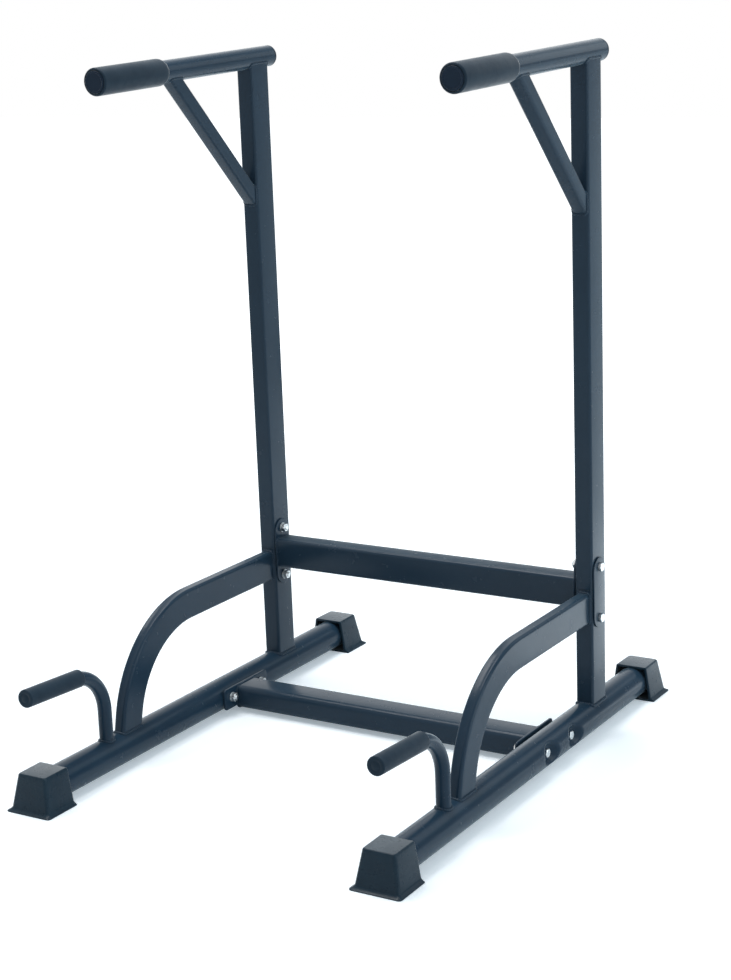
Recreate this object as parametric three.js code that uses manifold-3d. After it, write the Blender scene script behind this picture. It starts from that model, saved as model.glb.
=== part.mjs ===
// Dip station: two welded side frames joined by two bolted crossbars.
// Millimetres, +Z up, +Y to the rear. The origin is on the floor, in the middle of the footprint.
import * as THREE from 'three';
import { mergeVertices, toCreasedNormals } from 'three/addons/utils/BufferGeometryUtils.js';
import Module from 'manifold-3d';

const wasm = await Module();
wasm.setup();

// Footprint and stance
const FRAME_LENGTH = 913;
const TUBE_SPACING = 600;
const UPRIGHT_SETBACK = 225;

// Running values: the gap left at every seat, and how far a cutter runs past what it cuts
const SEAT_GAP = 0.3;
const OVERRUN = 10;

// Base tubes and the pressed dimples that take the bolt heads
const BASE_RADIUS = 25.4;
const BASE_WALL = 2;
const DIMPLE_RIM_RADIUS = 24;
const DIMPLE_FLOOR_RADIUS = 12;
const DIMPLE_DEPTH = 13;

// Feet
const FOOT_LENGTH = 67;
const FOOT_TOP_LENGTH = 52;
const FOOT_SOLE = 3;
const FOOT_ROOF = 3.8;
const FOOT_WALL = 4;
const FOOT_FLOOR_FLARE = 11.1;
const FOOT_TOP_FLARE = 1.6;
const FOOT_END_TAPER = 0.6;
const FOOT_LIP = 5;
const FOOT_LIP_HEIGHT = 7;
const FOOT_LIP_EDGE = 1.8;
const FOOT_LIP_CURVE_SHARE = 0.33;
const FOOT_CORNER_RADIUS = 6;
const FOOT_MOUTH_CORNER_RADIUS = 2;
const FOOT_TOP_ROUNDING = 3;

// Uprights, made in two lengths that meet between the crossbar bolts
const UPRIGHT_WIDTH = 30;
const UPRIGHT_DEPTH = 50;
const UPRIGHT_CORNER = 4.5;
const UPRIGHT_WALL = 2;
const UPRIGHT_SPLIT_HEIGHT = 242;

// Curved braces
const BRACE_WIDTH = 20;
const BRACE_DEPTH = 50;
const BRACE_CORNER = 5;
const BRACE_WALL = 2;
const BRACE_TOP_HEIGHT = 236.7;
const BRACE_RUN = 238;
const BRACE_BEND_RADIUS = 174;
const BRACE_BEND_DEGREES = 78;

// Dip bars, their diagonal braces, grips and caps
const BAR_HEIGHT = 1071;
const BAR_TILT_DEGREES = 2.2;
const BAR_RADIUS = 17;
const BAR_WALL = 2;
const BAR_REACH = 415;
const BAR_TAIL = 50.5;
const DIAGONAL_SIZE = 24;
const DIAGONAL_CORNER = 5;
const DIAGONAL_WALL = 1.5;
const DIAGONAL_GRIP_GAP = 0.9;
const DIAGONAL_DEGREES = 45;
const DIP_GRIP_RADIUS = 21;
const DIP_GRIP_LENGTH = 162;
const DIP_GRIP_TAPER = 7;
const DIP_GRIP_ROUNDING = 3;
const CAP_HEAD = 3;
const CAP_STEM = 18;
const CAP_WALL = 2;
const CAP_EDGE = 1.2;
const CAP_DOME = 2;

// Push-up handles and their grips
const HANDLE_RADIUS = 11;
const HANDLE_WALL = 1.5;
const HANDLE_FORWARD = 492.5;
const HANDLE_LEG_HEIGHT = 102.7;
const HANDLE_BEND_RADIUS = 70;
const HANDLE_RISE_DEGREES = 3.3;
const PUSH_GRIP_RADIUS = 14;
const PUSH_GRIP_LENGTH = 124;
const PUSH_GRIP_MOUTH_LENGTH = 10;
const PUSH_GRIP_MOUTH_FLARE = 0.8;
const PUSH_GRIP_END = 4;
const PUSH_GRIP_ROUNDING = 1.5;
const PUSH_GRIP_MARK_RADIUS = 7;
const PUSH_GRIP_MARK_DEPTH = 0.8;

// Upper crossbar and the plates on each side of the upright
const UPPER_BAR_HEIGHT = 234.5;
const UPPER_BAR_FORWARD = 3;
const UPPER_BAR_TALL = 50;
const UPPER_BAR_DEPTH = 40;
const UPPER_BAR_CORNER = 6;
const UPPER_BAR_WALL = 2;
const SIDE_PLATE_WIDTH = 40;
const SIDE_PLATE_HEIGHT = 115;
const SIDE_PLATE_THICKNESS = 2.5;
const UPPER_BOLT_SPREAD = 84;

// Lower crossbar and its end plates
const LOWER_BAR_FORWARD = 152;
const LOWER_BAR_DROP = 3.5;
const LOWER_BAR_DEPTH = 57;
const LOWER_BAR_TALL = 39;
const LOWER_BAR_CORNER = 10;
const LOWER_BAR_WALL = 2;
const FLOOR_PLATE_LENGTH = 125;
const FLOOR_PLATE_TALL = 36;
const FLOOR_PLATE_CORNER = 6;
const FLOOR_PLATE_THICKNESS = 4;
const FLOOR_BOLT_SPREAD = 84;
const FLOOR_BOLT_RISE = 2;

// Bolts, washers and nuts
const BOLT_RADIUS = 4;
const BOLT_HOLE_GAP = 0.5;
const HEX_ACROSS_FLATS = 13;
const BOLT_HEAD_HEIGHT = 5.3;
const BOLT_TAIL = 2;
const NUT_HEIGHT = 6.5;
const WASHER_RADIUS = 8;
const WASHER_THICKNESS = 1.6;
const HEX_CHAMFER = 0.9;

// How finely round forms are divided
const ROUND_SIDES = 28;
const DIMPLE_SIDES = 20;
const HANDLE_SIDES = 16;
const GRIP_SIDES = 20;
const BOLT_SIDES = 12;
const CORNER_STEPS = 3;
const ROUNDING_STEPS = 2;
const BRACE_BEND_STEPS = 9;
const HANDLE_BEND_STEPS = 8;
const CREASE_DEGREES = 32;

// Places worked out from the sizes above
const baseAxisHeight = FOOT_SOLE + SEAT_GAP + BASE_RADIUS;
const footHeight = baseAxisHeight + BASE_RADIUS + SEAT_GAP + FOOT_ROOF;
const uprightFace = UPRIGHT_DEPTH / 2;
const uprightSide = UPRIGHT_WIDTH / 2;
const barTilt = THREE.MathUtils.degToRad(BAR_TILT_DEGREES);
const handleStraight = PUSH_GRIP_LENGTH - PUSH_GRIP_MOUTH_LENGTH - PUSH_GRIP_END - SEAT_GAP;
const upperBoltHeights = [
  UPPER_BAR_HEIGHT - UPPER_BOLT_SPREAD / 2,
  UPPER_BAR_HEIGHT + UPPER_BOLT_SPREAD / 2,
];
const floorBoltPlaces = [
  -LOWER_BAR_FORWARD - FLOOR_BOLT_SPREAD / 2,
  -LOWER_BAR_FORWARD + FLOOR_BOLT_SPREAD / 2,
];

// The diagonal brace starts this far under the bar's axis: its sides end just behind the dip grip.
const diagonalAngle = THREE.MathUtils.degToRad(DIAGONAL_DEGREES);
const diagonalSeat = Math.sqrt(BAR_RADIUS ** 2 - (DIAGONAL_SIZE / 2) ** 2);
const diagonalFront = BAR_REACH - CAP_EDGE - DIP_GRIP_LENGTH - DIAGONAL_GRIP_GAP;
const diagonalRun = diagonalFront - uprightFace - DIAGONAL_SIZE / 2 / Math.sin(diagonalAngle);
const diagonalDrop = diagonalSeat + diagonalRun * Math.tan(diagonalAngle);

// Finishes
const powderCoat = () => new THREE.MeshStandardMaterial({ color: 0x2a333b, roughness: 0.5, metalness: 0.3 });
const footRubber = () => new THREE.MeshStandardMaterial({ color: 0x2b3338, roughness: 0.8, metalness: 0 });
const gripFoam = () => new THREE.MeshStandardMaterial({ color: 0x262c31, roughness: 0.9, metalness: 0 });
const capPlastic = () => new THREE.MeshStandardMaterial({ color: 0x20272c, roughness: 0.6, metalness: 0 });
const zinc = () => new THREE.MeshStandardMaterial({ color: 0xc9cdd0, roughness: 0.3, metalness: 0.9 });

// Solids from geometry, and back
// A closed three.js geometry as a solid: shared vertices are merged and collapsed triangles dropped.
function solidFrom(geometry) {
  const bare = geometry.clone();
  bare.deleteAttribute('normal');
  bare.deleteAttribute('uv');
  const merged = mergeVertices(bare);
  const corners = merged.index.array;
  const triangles = [];
  for (let i = 0; i < corners.length; i += 3) {
    const [a, b, c] = corners.slice(i, i + 3);
    if (a !== b && b !== c && c !== a) triangles.push(a, b, c);
  }
  return new wasm.Manifold(new wasm.Mesh({
    numProp: 3,
    vertProperties: new Float32Array(merged.attributes.position.array),
    triVerts: new Uint32Array(triangles),
  }));
}

// A solid as a geometry with soft normals on its round faces and crisp edges.
function geometryFrom(solid) {
  const mesh = solid.getMesh();
  const geometry = new THREE.BufferGeometry();
  geometry.setAttribute('position', new THREE.BufferAttribute(mesh.vertProperties, 3));
  geometry.setIndex(new THREE.BufferAttribute(mesh.triVerts, 1));
  return toCreasedNormals(geometry, THREE.MathUtils.degToRad(CREASE_DEGREES));
}

// A named piece at a place in its parent group.
function piece(parent, name, solid, material, place = [0, 0, 0]) {
  const mesh = new THREE.Mesh(geometryFrom(solid), material);
  mesh.name = name;
  mesh.position.set(...place);
  parent.add(mesh);
  return mesh;
}

// Basic forms
// A rounded rectangle about a centre, as the outline of a shape or of a hole in one.
function roundedRectangle(path, width, height, radius, centreX = 0, centreY = 0) {
  const quarter = Math.PI / 2;
  [[1, -1], [1, 1], [-1, 1], [-1, -1]].forEach(([right, up], i) => {
    const x = centreX + right * (width / 2 - radius);
    const y = centreY + up * (height / 2 - radius);
    path.absarc(x, y, radius, (i - 1) * quarter, i * quarter);
  });
  path.closePath();
  return path;
}

// The section of a flat-sided tube.
function tubeSection(width, height, radius, wall) {
  const section = roundedRectangle(new THREE.Shape(), width, height, radius);
  section.holes.push(roundedRectangle(new THREE.Path(), width - 2 * wall, height - 2 * wall, radius - wall));
  return section;
}

// A circle of four quarter arcs, as the outline of a shape or of a hole in one.
const circle = (path, radius, x = 0, y = 0) => (
  roundedRectangle(path, 2 * radius, 2 * radius, radius, x, y)
);

// The section of a round tube.
function ringSection(radius, wall) {
  const section = circle(new THREE.Shape(), radius);
  section.holes.push(circle(new THREE.Path(), radius - wall));
  return section;
}

// A section pushed up along +Z from the origin. Each of its arcs is divided into the given steps.
function extrude(section, length, arcSteps = CORNER_STEPS) {
  return new THREE.ExtrudeGeometry(section, { depth: length, bevelEnabled: false, curveSegments: arcSteps / 2 });
}

// A round bar around the X or the Y axis, centred on the origin.
const rodAlongY = (radius, length, sides = ROUND_SIDES) => (
  new THREE.CylinderGeometry(radius, radius, length, sides)
);
const rodAlongX = (radius, length, sides = BOLT_SIDES) => (
  rodAlongY(radius, length, sides).rotateZ(-Math.PI / 2)
);

// A profile of [radius, height] points turned about Y, the way its height runs.
function turned(profile, sides = ROUND_SIDES) {
  const points = profile.map(([radius, height]) => new THREE.Vector2(radius, height));
  return new THREE.LatheGeometry(points, sides);
}

// The points of a quarter round between two directions, about a centre, for turned profiles.
function quarterRound(centreRadius, centreHeight, radius, fromDegrees) {
  const points = [];
  for (let i = 0; i <= ROUNDING_STEPS; i += 1) {
    const angle = THREE.MathUtils.degToRad(fromDegrees + 90 * i / ROUNDING_STEPS);
    points.push([centreRadius + radius * Math.cos(angle), centreHeight + radius * Math.sin(angle)]);
  }
  return points;
}

// The centre line of a bent tube in the plane of Y and Z: a straight, one bend, and a straight.
// Its first and last steps are the straights, and the steps between them share out the bend.
class BentLine extends THREE.Curve {
  constructor({ start, heading, firstStraight, bendRadius, bendAngle, lastStraight, steps }) {
    super();
    this.start = start;
    this.heading = heading;
    this.firstStraight = firstStraight;
    this.bendRadius = bendRadius;
    this.bendAngle = bendAngle;
    this.lastStraight = lastStraight;
    this.steps = steps;
  }

  // The heading, as an angle from +Y towards +Z, at a share of the steps.
  headingAt(share) {
    const bendShare = (share * (this.steps + 2) - 1) / this.steps;
    return this.heading + this.bendAngle * THREE.MathUtils.clamp(bendShare, 0, 1);
  }

  getPointAt(share, target = new THREE.Vector3()) {
    const turn = Math.sign(this.bendAngle);
    const angle = this.headingAt(share);
    const before = Math.min(share * (this.steps + 2), 1) * this.firstStraight;
    const after = Math.max(share * (this.steps + 2) - this.steps - 1, 0) * this.lastStraight;
    const across = turn * this.bendRadius;
    const y = before * Math.cos(this.heading) + after * Math.cos(angle)
      + across * (Math.sin(angle) - Math.sin(this.heading));
    const z = before * Math.sin(this.heading) + after * Math.sin(angle)
      - across * (Math.cos(angle) - Math.cos(this.heading));
    return target.set(this.start.x, this.start.y + y, this.start.z + z);
  }

  getTangentAt(share, target = new THREE.Vector3()) {
    const angle = this.headingAt(share);
    return target.set(0, Math.cos(angle), Math.sin(angle));
  }
}

// A tube of any section along a bent line.
function bentTube(section, line, arcSteps = CORNER_STEPS) {
  return new THREE.ExtrudeGeometry(section, {
    steps: line.steps + 2,
    extrudePath: line,
    curveSegments: arcSteps / 2,
  });
}

// Fasteners
// A hexagonal prism along X, chamfered at its far end, from x = 0 to its height.
function hexagon(height) {
  const corner = HEX_ACROSS_FLATS / Math.sqrt(3);
  const prism = new THREE.CylinderGeometry(corner, corner, height, 6);
  const chamferedBlank = turned([
    [0, -height / 2],
    [corner, -height / 2],
    [corner, height / 2 - HEX_CHAMFER],
    [corner - 2 * HEX_CHAMFER, height / 2],
    [0, height / 2],
  ], BOLT_SIDES);
  const head = solidFrom(prism).intersect(solidFrom(chamferedBlank));
  return solidFrom(geometryFrom(head).rotateZ(-Math.PI / 2).translate(height / 2, 0, 0));
}

// A bolt along X: the head's seat is at x = 0 and the shank runs towards -X.
function bolt(length) {
  const shank = rodAlongX(BOLT_RADIUS, length + SEAT_GAP).translate((SEAT_GAP - length) / 2, 0, 0);
  return hexagon(BOLT_HEAD_HEIGHT).add(solidFrom(shank));
}

// A nut along X whose seat is at x = 0.
function nut() {
  const bore = rodAlongX(BOLT_RADIUS + SEAT_GAP, NUT_HEIGHT + 2 * OVERRUN).translate(NUT_HEIGHT / 2, 0, 0);
  return hexagon(NUT_HEIGHT).subtract(solidFrom(bore));
}

// A washer along X whose seat is at x = 0.
function washer() {
  const ring = ringSection(WASHER_RADIUS, WASHER_RADIUS - BOLT_RADIUS - SEAT_GAP);
  return solidFrom(extrude(ring, WASHER_THICKNESS, BOLT_SIDES / 4).rotateY(Math.PI / 2));
}

// A bolt set on one side frame: seats are given as distances outward from the frame's middle plane.
function boltSet(frame, side, name, y, z, headSeat, nutSeat) {
  const head = headSeat + SEAT_GAP;
  const washerSeat = nutSeat - SEAT_GAP;
  const nutFace = washerSeat - WASHER_THICKNESS - SEAT_GAP;
  const length = head - nutFace + NUT_HEIGHT + BOLT_TAIL;
  const outward = side > 0 ? 0 : Math.PI;
  const inward = side > 0 ? Math.PI : 0;
  piece(frame, `${name}_bolt`, bolt(length), zinc(), [side * head, y, z]).rotation.z = outward;
  piece(frame, `${name}_washer`, washer(), zinc(), [side * washerSeat, y, z]).rotation.z = inward;
  piece(frame, `${name}_nut`, nut(), zinc(), [side * nutFace, y, z]).rotation.z = inward;
}

// Feet
// One level of a foot: a four-sided outline, narrower at its closed end, with rounded corners.
function footLevel({ height, mouthHalf, endHalf, mouth, end, endRadius, mouthRadius }) {
  const outline = new THREE.Shape();
  const corners = [
    [mouthHalf, mouth, mouthRadius],
    [endHalf, end, endRadius],
    [-endHalf, end, endRadius],
    [-mouthHalf, mouth, mouthRadius],
  ];
  corners.forEach(([x, y, radius], i) => {
    const [previousX, previousY] = corners[(i + 3) % 4];
    const [nextX, nextY] = corners[(i + 1) % 4];
    const corner = new THREE.Vector2(x, y);
    const back = new THREE.Vector2(previousX, previousY).sub(corner).setLength(radius).add(corner);
    const ahead = new THREE.Vector2(nextX, nextY).sub(corner).setLength(radius).add(corner);
    if (i === 0) outline.moveTo(back.x, back.y);
    else outline.lineTo(back.x, back.y);
    outline.quadraticCurveTo(x, y, ahead.x, ahead.y);
  });
  const points = outline.getPoints(ROUNDING_STEPS);
  return points.map((point) => new THREE.Vector3(point.x, point.y, height));
}

// A closed skin over a stack of levels that all have the same number of points.
function loft(levels) {
  const count = levels[0].length;
  const corners = [];
  for (let i = 0; i < levels.length - 1; i += 1) {
    for (let j = 0; j < count; j += 1) {
      const k = (j + 1) % count;
      const [a, b] = [i * count + j, i * count + k];
      corners.push(a, b, b + count, a, b + count, a + count);
    }
  }
  const top = (levels.length - 1) * count;
  for (let j = 1; j < count - 1; j += 1) {
    corners.push(0, j + 1, j);
    corners.push(top, top + j, top + j + 1);
  }
  const geometry = new THREE.BufferGeometry().setFromPoints(levels.flat());
  geometry.setIndex(corners);
  return geometry;
}

// How far the body of a foot reaches at a height, above its lip: half widths and the closed end.
function footReach(height) {
  const share = height / footHeight;
  const floorHalf = BASE_RADIUS + FOOT_FLOOR_FLARE;
  return {
    mouthHalf: THREE.MathUtils.lerp(floorHalf, BASE_RADIUS + FOOT_TOP_FLARE, share),
    endHalf: THREE.MathUtils.lerp(floorHalf, BASE_RADIUS + FOOT_TOP_FLARE - FOOT_END_TAPER, share),
    end: -THREE.MathUtils.lerp(FOOT_LIP, FOOT_LENGTH - FOOT_TOP_LENGTH, share),
  };
}

// The end of a base tube, measured from the closed end of its foot: it stops against the sloped wall.
const baseTubeInset = FOOT_WALL + SEAT_GAP - footReach(baseAxisHeight + BASE_RADIUS).end;

// A foot whose closed end is at y = 0 and whose mouth faces -Y.
function foot() {
  const level = (height, spread, mouthSpread = spread) => {
    const reach = footReach(height);
    return footLevel({
      height,
      mouthHalf: reach.mouthHalf + spread,
      endHalf: reach.endHalf + spread,
      end: reach.end + spread,
      mouth: -FOOT_LENGTH + mouthSpread,
      endRadius: FOOT_CORNER_RADIUS,
      mouthRadius: FOOT_MOUTH_CORNER_RADIUS,
    });
  };
  const rounding = FOOT_TOP_ROUNDING * (1 - Math.SQRT1_2);
  const shell = loft([
    level(0, FOOT_LIP, 0),
    level(FOOT_LIP_EDGE, FOOT_LIP, 0),
    level((FOOT_LIP_EDGE + FOOT_LIP_HEIGHT) / 2, FOOT_LIP * FOOT_LIP_CURVE_SHARE, 0),
    level(FOOT_LIP_HEIGHT, 0, 0),
    level(footHeight - FOOT_TOP_ROUNDING, 0, 0),
    level(footHeight - rounding, -rounding, 0),
    level(footHeight, -FOOT_TOP_ROUNDING, 0),
  ]);
  const roofHeight = footHeight - FOOT_ROOF;
  const pocket = loft([
    level(FOOT_SOLE, -FOOT_WALL, -OVERRUN),
    level(roofHeight, -FOOT_WALL, -OVERRUN),
  ]);
  const bore = rodAlongY(BASE_RADIUS + SEAT_GAP, FOOT_LENGTH + OVERRUN - baseTubeInset + SEAT_GAP)
    .translate(0, -(FOOT_LENGTH + OVERRUN + baseTubeInset - SEAT_GAP) / 2, baseAxisHeight);
  return solidFrom(shell).subtract(solidFrom(pocket)).subtract(solidFrom(bore));
}

// Side frames
// A pressed dimple, opening towards +X or -X. Grown by the wall, it is the dimple's inner skin.
function dimple(side, y, growth) {
  const slope = (DIMPLE_RIM_RADIUS - DIMPLE_FLOOR_RADIUS) / DIMPLE_DEPTH;
  const depth = DIMPLE_DEPTH + growth + OVERRUN;
  const mouthRadius = DIMPLE_RIM_RADIUS + growth + slope * OVERRUN;
  const floorRadius = mouthRadius - slope * depth;
  return new THREE.CylinderGeometry(mouthRadius, floorRadius, depth, DIMPLE_SIDES)
    .rotateZ(-side * Math.PI / 2)
    .translate(side * (BASE_RADIUS + OVERRUN - depth / 2), y, FLOOR_BOLT_RISE);
}

// A base tube lying along Y. The floor bolts cross it from its dimples to its inner wall.
function baseTube(side) {
  const front = UPRIGHT_SETBACK - FRAME_LENGTH + baseTubeInset;
  const rear = UPRIGHT_SETBACK - baseTubeInset;
  const middle = (front + rear) / 2;
  const length = rear - front;
  let skin = solidFrom(rodAlongY(BASE_RADIUS, length).translate(0, middle, 0));
  let bore = solidFrom(rodAlongY(BASE_RADIUS - BASE_WALL, length + OVERRUN).translate(0, middle, 0));
  floorBoltPlaces.forEach((y) => {
    skin = skin.subtract(solidFrom(dimple(side, y, 0)));
    bore = bore.subtract(solidFrom(dimple(side, y, BASE_WALL)));
  });
  let tube = skin.subtract(bore);
  floorBoltPlaces.forEach((y) => {
    const hole = rodAlongX(BOLT_RADIUS + BOLT_HOLE_GAP, 2 * (BASE_RADIUS + OVERRUN));
    tube = tube.subtract(solidFrom(hole.translate(0, y, FLOOR_BOLT_RISE)));
  });
  return tube;
}

// Straight flat-sided tube standing on z = 0, with its bolt hole cut along X.
function uprightTube(length, boltHeight) {
  const section = tubeSection(UPRIGHT_WIDTH, UPRIGHT_DEPTH, UPRIGHT_CORNER, UPRIGHT_WALL);
  const hole = rodAlongX(BOLT_RADIUS + BOLT_HOLE_GAP, UPRIGHT_WIDTH + OVERRUN)
    .translate(0, -UPPER_BAR_FORWARD, boltHeight);
  return solidFrom(extrude(section, length)).subtract(solidFrom(hole));
}

// The lower upright starts at the base tube's axis and is coped to sit on the tube.
function lowerUpright() {
  const cope = rodAlongY(BASE_RADIUS + SEAT_GAP, UPRIGHT_DEPTH + OVERRUN);
  return uprightTube(UPRIGHT_SPLIT_HEIGHT - baseAxisHeight, upperBoltHeights[0] - baseAxisHeight)
    .subtract(solidFrom(cope));
}

// The upper upright reaches to the dip bar's axis and is coped under the bar.
function upperUpright() {
  const start = UPRIGHT_SPLIT_HEIGHT + SEAT_GAP;
  const length = BAR_HEIGHT - start;
  const cope = rodAlongY(BAR_RADIUS + SEAT_GAP, UPRIGHT_DEPTH + OVERRUN)
    .rotateX(barTilt)
    .translate(0, 0, length);
  return uprightTube(length, upperBoltHeights[1] - start).subtract(solidFrom(cope));
}

// The curved brace leaves the upright level, bends down and lands on the base tube.
function curvedBrace() {
  const bend = THREE.MathUtils.degToRad(BRACE_BEND_DEGREES);
  const rise = BRACE_TOP_HEIGHT - BRACE_DEPTH / 2 - baseAxisHeight;
  const line = new BentLine({
    start: new THREE.Vector3(0, -uprightFace - SEAT_GAP, rise),
    heading: Math.PI,
    firstStraight: BRACE_RUN - SEAT_GAP,
    bendRadius: BRACE_BEND_RADIUS,
    bendAngle: bend,
    lastStraight: (rise - BRACE_BEND_RADIUS * (1 - Math.cos(bend))) / Math.sin(bend),
    steps: BRACE_BEND_STEPS,
  });
  const section = tubeSection(BRACE_WIDTH, BRACE_DEPTH, BRACE_CORNER, BRACE_WALL);
  const cope = rodAlongY(BASE_RADIUS + SEAT_GAP, 2 * FRAME_LENGTH);
  return solidFrom(bentTube(section, line)).subtract(solidFrom(cope));
}

// The diagonal brace runs from the front of the upright up to the underside of the dip bar.
function diagonalBrace() {
  const length = diagonalDrop / Math.sin(diagonalAngle) + 2 * DIAGONAL_SIZE;
  const section = tubeSection(DIAGONAL_SIZE, DIAGONAL_SIZE, DIAGONAL_CORNER, DIAGONAL_WALL);
  const tube = extrude(section, length)
    .translate(0, 0, -DIAGONAL_SIZE)
    .rotateX(Math.PI / 2 - diagonalAngle)
    .translate(0, -uprightFace, -diagonalDrop);
  const uprightCut = new THREE.BoxGeometry(UPRIGHT_WIDTH + OVERRUN, UPRIGHT_DEPTH, 4 * DIAGONAL_SIZE)
    .translate(0, -SEAT_GAP, -diagonalDrop);
  const cope = rodAlongY(BAR_RADIUS + SEAT_GAP, 2 * BAR_REACH).rotateX(barTilt);
  const above = new THREE.BoxGeometry(2 * BAR_RADIUS, 2 * BAR_REACH, length)
    .translate(0, 0, length / 2)
    .rotateX(barTilt);
  return solidFrom(tube).subtract(solidFrom(uprightCut)).subtract(solidFrom(cope)).subtract(solidFrom(above));
}

// The push-up handle stands on the base tube and bends forward into its grip.
function pushUpHandleLine() {
  const rise = THREE.MathUtils.degToRad(HANDLE_RISE_DEGREES);
  return new BentLine({
    start: new THREE.Vector3(0, 0, 0),
    heading: Math.PI / 2,
    firstStraight: HANDLE_LEG_HEIGHT - baseAxisHeight,
    bendRadius: HANDLE_BEND_RADIUS,
    bendAngle: Math.PI / 2 - rise,
    lastStraight: handleStraight,
    steps: HANDLE_BEND_STEPS,
  });
}

function pushUpHandle() {
  const section = ringSection(HANDLE_RADIUS, HANDLE_WALL);
  const cope = rodAlongY(BASE_RADIUS + SEAT_GAP, 4 * HANDLE_RADIUS);
  return solidFrom(bentTube(section, pushUpHandleLine(), HANDLE_SIDES / 4)).subtract(solidFrom(cope));
}

// A slip-on grip turned about Y, open at y = 0 and closed at its far end, with a round mark there.
function pushUpGrip() {
  const bore = HANDLE_RADIUS + SEAT_GAP;
  const floor = PUSH_GRIP_LENGTH - PUSH_GRIP_END;
  const round = PUSH_GRIP_ROUNDING;
  return solidFrom(turned([
    [0, floor],
    [bore, floor],
    [bore, PUSH_GRIP_MOUTH_LENGTH],
    [bore + PUSH_GRIP_MOUTH_FLARE, 0],
    ...quarterRound(PUSH_GRIP_RADIUS - round, round, round, -90),
    ...quarterRound(PUSH_GRIP_RADIUS - round, PUSH_GRIP_LENGTH - round, round, 0),
    [PUSH_GRIP_MARK_RADIUS, PUSH_GRIP_LENGTH],
    [PUSH_GRIP_MARK_RADIUS - PUSH_GRIP_MARK_DEPTH, PUSH_GRIP_LENGTH - PUSH_GRIP_MARK_DEPTH],
    [0, PUSH_GRIP_LENGTH - PUSH_GRIP_MARK_DEPTH],
  ], GRIP_SIDES));
}

// A sleeve turned about Y: rounded at its front, y = 0, and tapered down to the bar at its rear.
function dipGrip() {
  const bore = BAR_RADIUS + SEAT_GAP;
  const round = DIP_GRIP_ROUNDING;
  const lip = (DIP_GRIP_RADIUS + bore) / 2;
  return solidFrom(turned([
    [bore, DIP_GRIP_LENGTH],
    [bore, 0],
    ...quarterRound(DIP_GRIP_RADIUS - round, round, round, -90),
    [DIP_GRIP_RADIUS, DIP_GRIP_LENGTH - DIP_GRIP_TAPER],
    [lip, DIP_GRIP_LENGTH],
    [bore, DIP_GRIP_LENGTH],
  ]));
}

// A plug turned about Y: its head covers the tube's end and its hollow stem goes up the bore.
function plug(crownHeight) {
  const stem = BAR_RADIUS - BAR_WALL - SEAT_GAP;
  const face = BAR_RADIUS - CAP_EDGE;
  const crown = crownHeight > 0 ? [[face / 2, CAP_HEAD + crownHeight]] : [];
  return solidFrom(turned([
    [0, 0],
    [stem - CAP_WALL, 0],
    [stem - CAP_WALL, -CAP_STEM],
    [stem, -CAP_STEM],
    [stem, 0],
    [BAR_RADIUS, 0],
    [BAR_RADIUS, CAP_HEAD - CAP_EDGE],
    [face, CAP_HEAD],
    ...crown,
    [0, CAP_HEAD + crownHeight],
  ], GRIP_SIDES));
}

// The dip bar lies along Y in its own tilted group, whose origin is over the upright.
function addDipBar(frame, name) {
  const group = new THREE.Group();
  group.position.set(0, 0, BAR_HEIGHT);
  group.rotation.x = barTilt;
  frame.add(group);
  const front = -BAR_REACH + CAP_HEAD + SEAT_GAP;
  const rear = BAR_TAIL - CAP_HEAD - CAP_DOME - SEAT_GAP;
  const tube = extrude(ringSection(BAR_RADIUS, BAR_WALL), rear - front, ROUND_SIDES / 4)
    .rotateX(-Math.PI / 2);
  piece(group, `${name}_dip_bar`, solidFrom(tube), powderCoat(), [0, front, 0]);
  piece(group, `${name}_dip_grip`, dipGrip(), gripFoam(), [0, -BAR_REACH + CAP_EDGE, 0]);
  piece(group, `${name}_dip_end_cap`, plug(0), capPlastic(), [0, front - SEAT_GAP, 0])
    .rotation.x = Math.PI;
  piece(group, `${name}_rear_cap`, plug(CAP_DOME), capPlastic(), [0, rear + SEAT_GAP, 0]);
}

// The handle and its grip, which lies along the handle's last straight.
function addPushUpHandle(frame, name) {
  const place = [0, -HANDLE_FORWARD, baseAxisHeight];
  piece(frame, `${name}_push_up_handle`, pushUpHandle(), powderCoat(), place);
  const line = pushUpHandleLine();
  const tip = line.getPointAt(1);
  const heading = line.getTangentAt(1);
  const start = tip.addScaledVector(heading, PUSH_GRIP_END + SEAT_GAP - PUSH_GRIP_LENGTH);
  const grip = piece(frame, `${name}_push_up_grip`, pushUpGrip(), gripFoam());
  grip.position.set(...place).add(start);
  grip.rotation.x = Math.atan2(heading.z, heading.y);
}

// A plate standing in the plane of Y and Z, from x = 0 to its thickness, with bolt holes.
function plate({ width, height, corner, thickness, holes, arcSteps }) {
  const outline = roundedRectangle(new THREE.Shape(), width, height, corner);
  const blank = extrude(outline, thickness, arcSteps).rotateX(Math.PI / 2).rotateZ(Math.PI / 2);
  return holes.reduce((solid, [y, z]) => {
    const hole = rodAlongX(BOLT_RADIUS + BOLT_HOLE_GAP, thickness + 2 * OVERRUN).translate(0, y, z);
    return solid.subtract(solidFrom(hole));
  }, solidFrom(blank));
}

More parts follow.
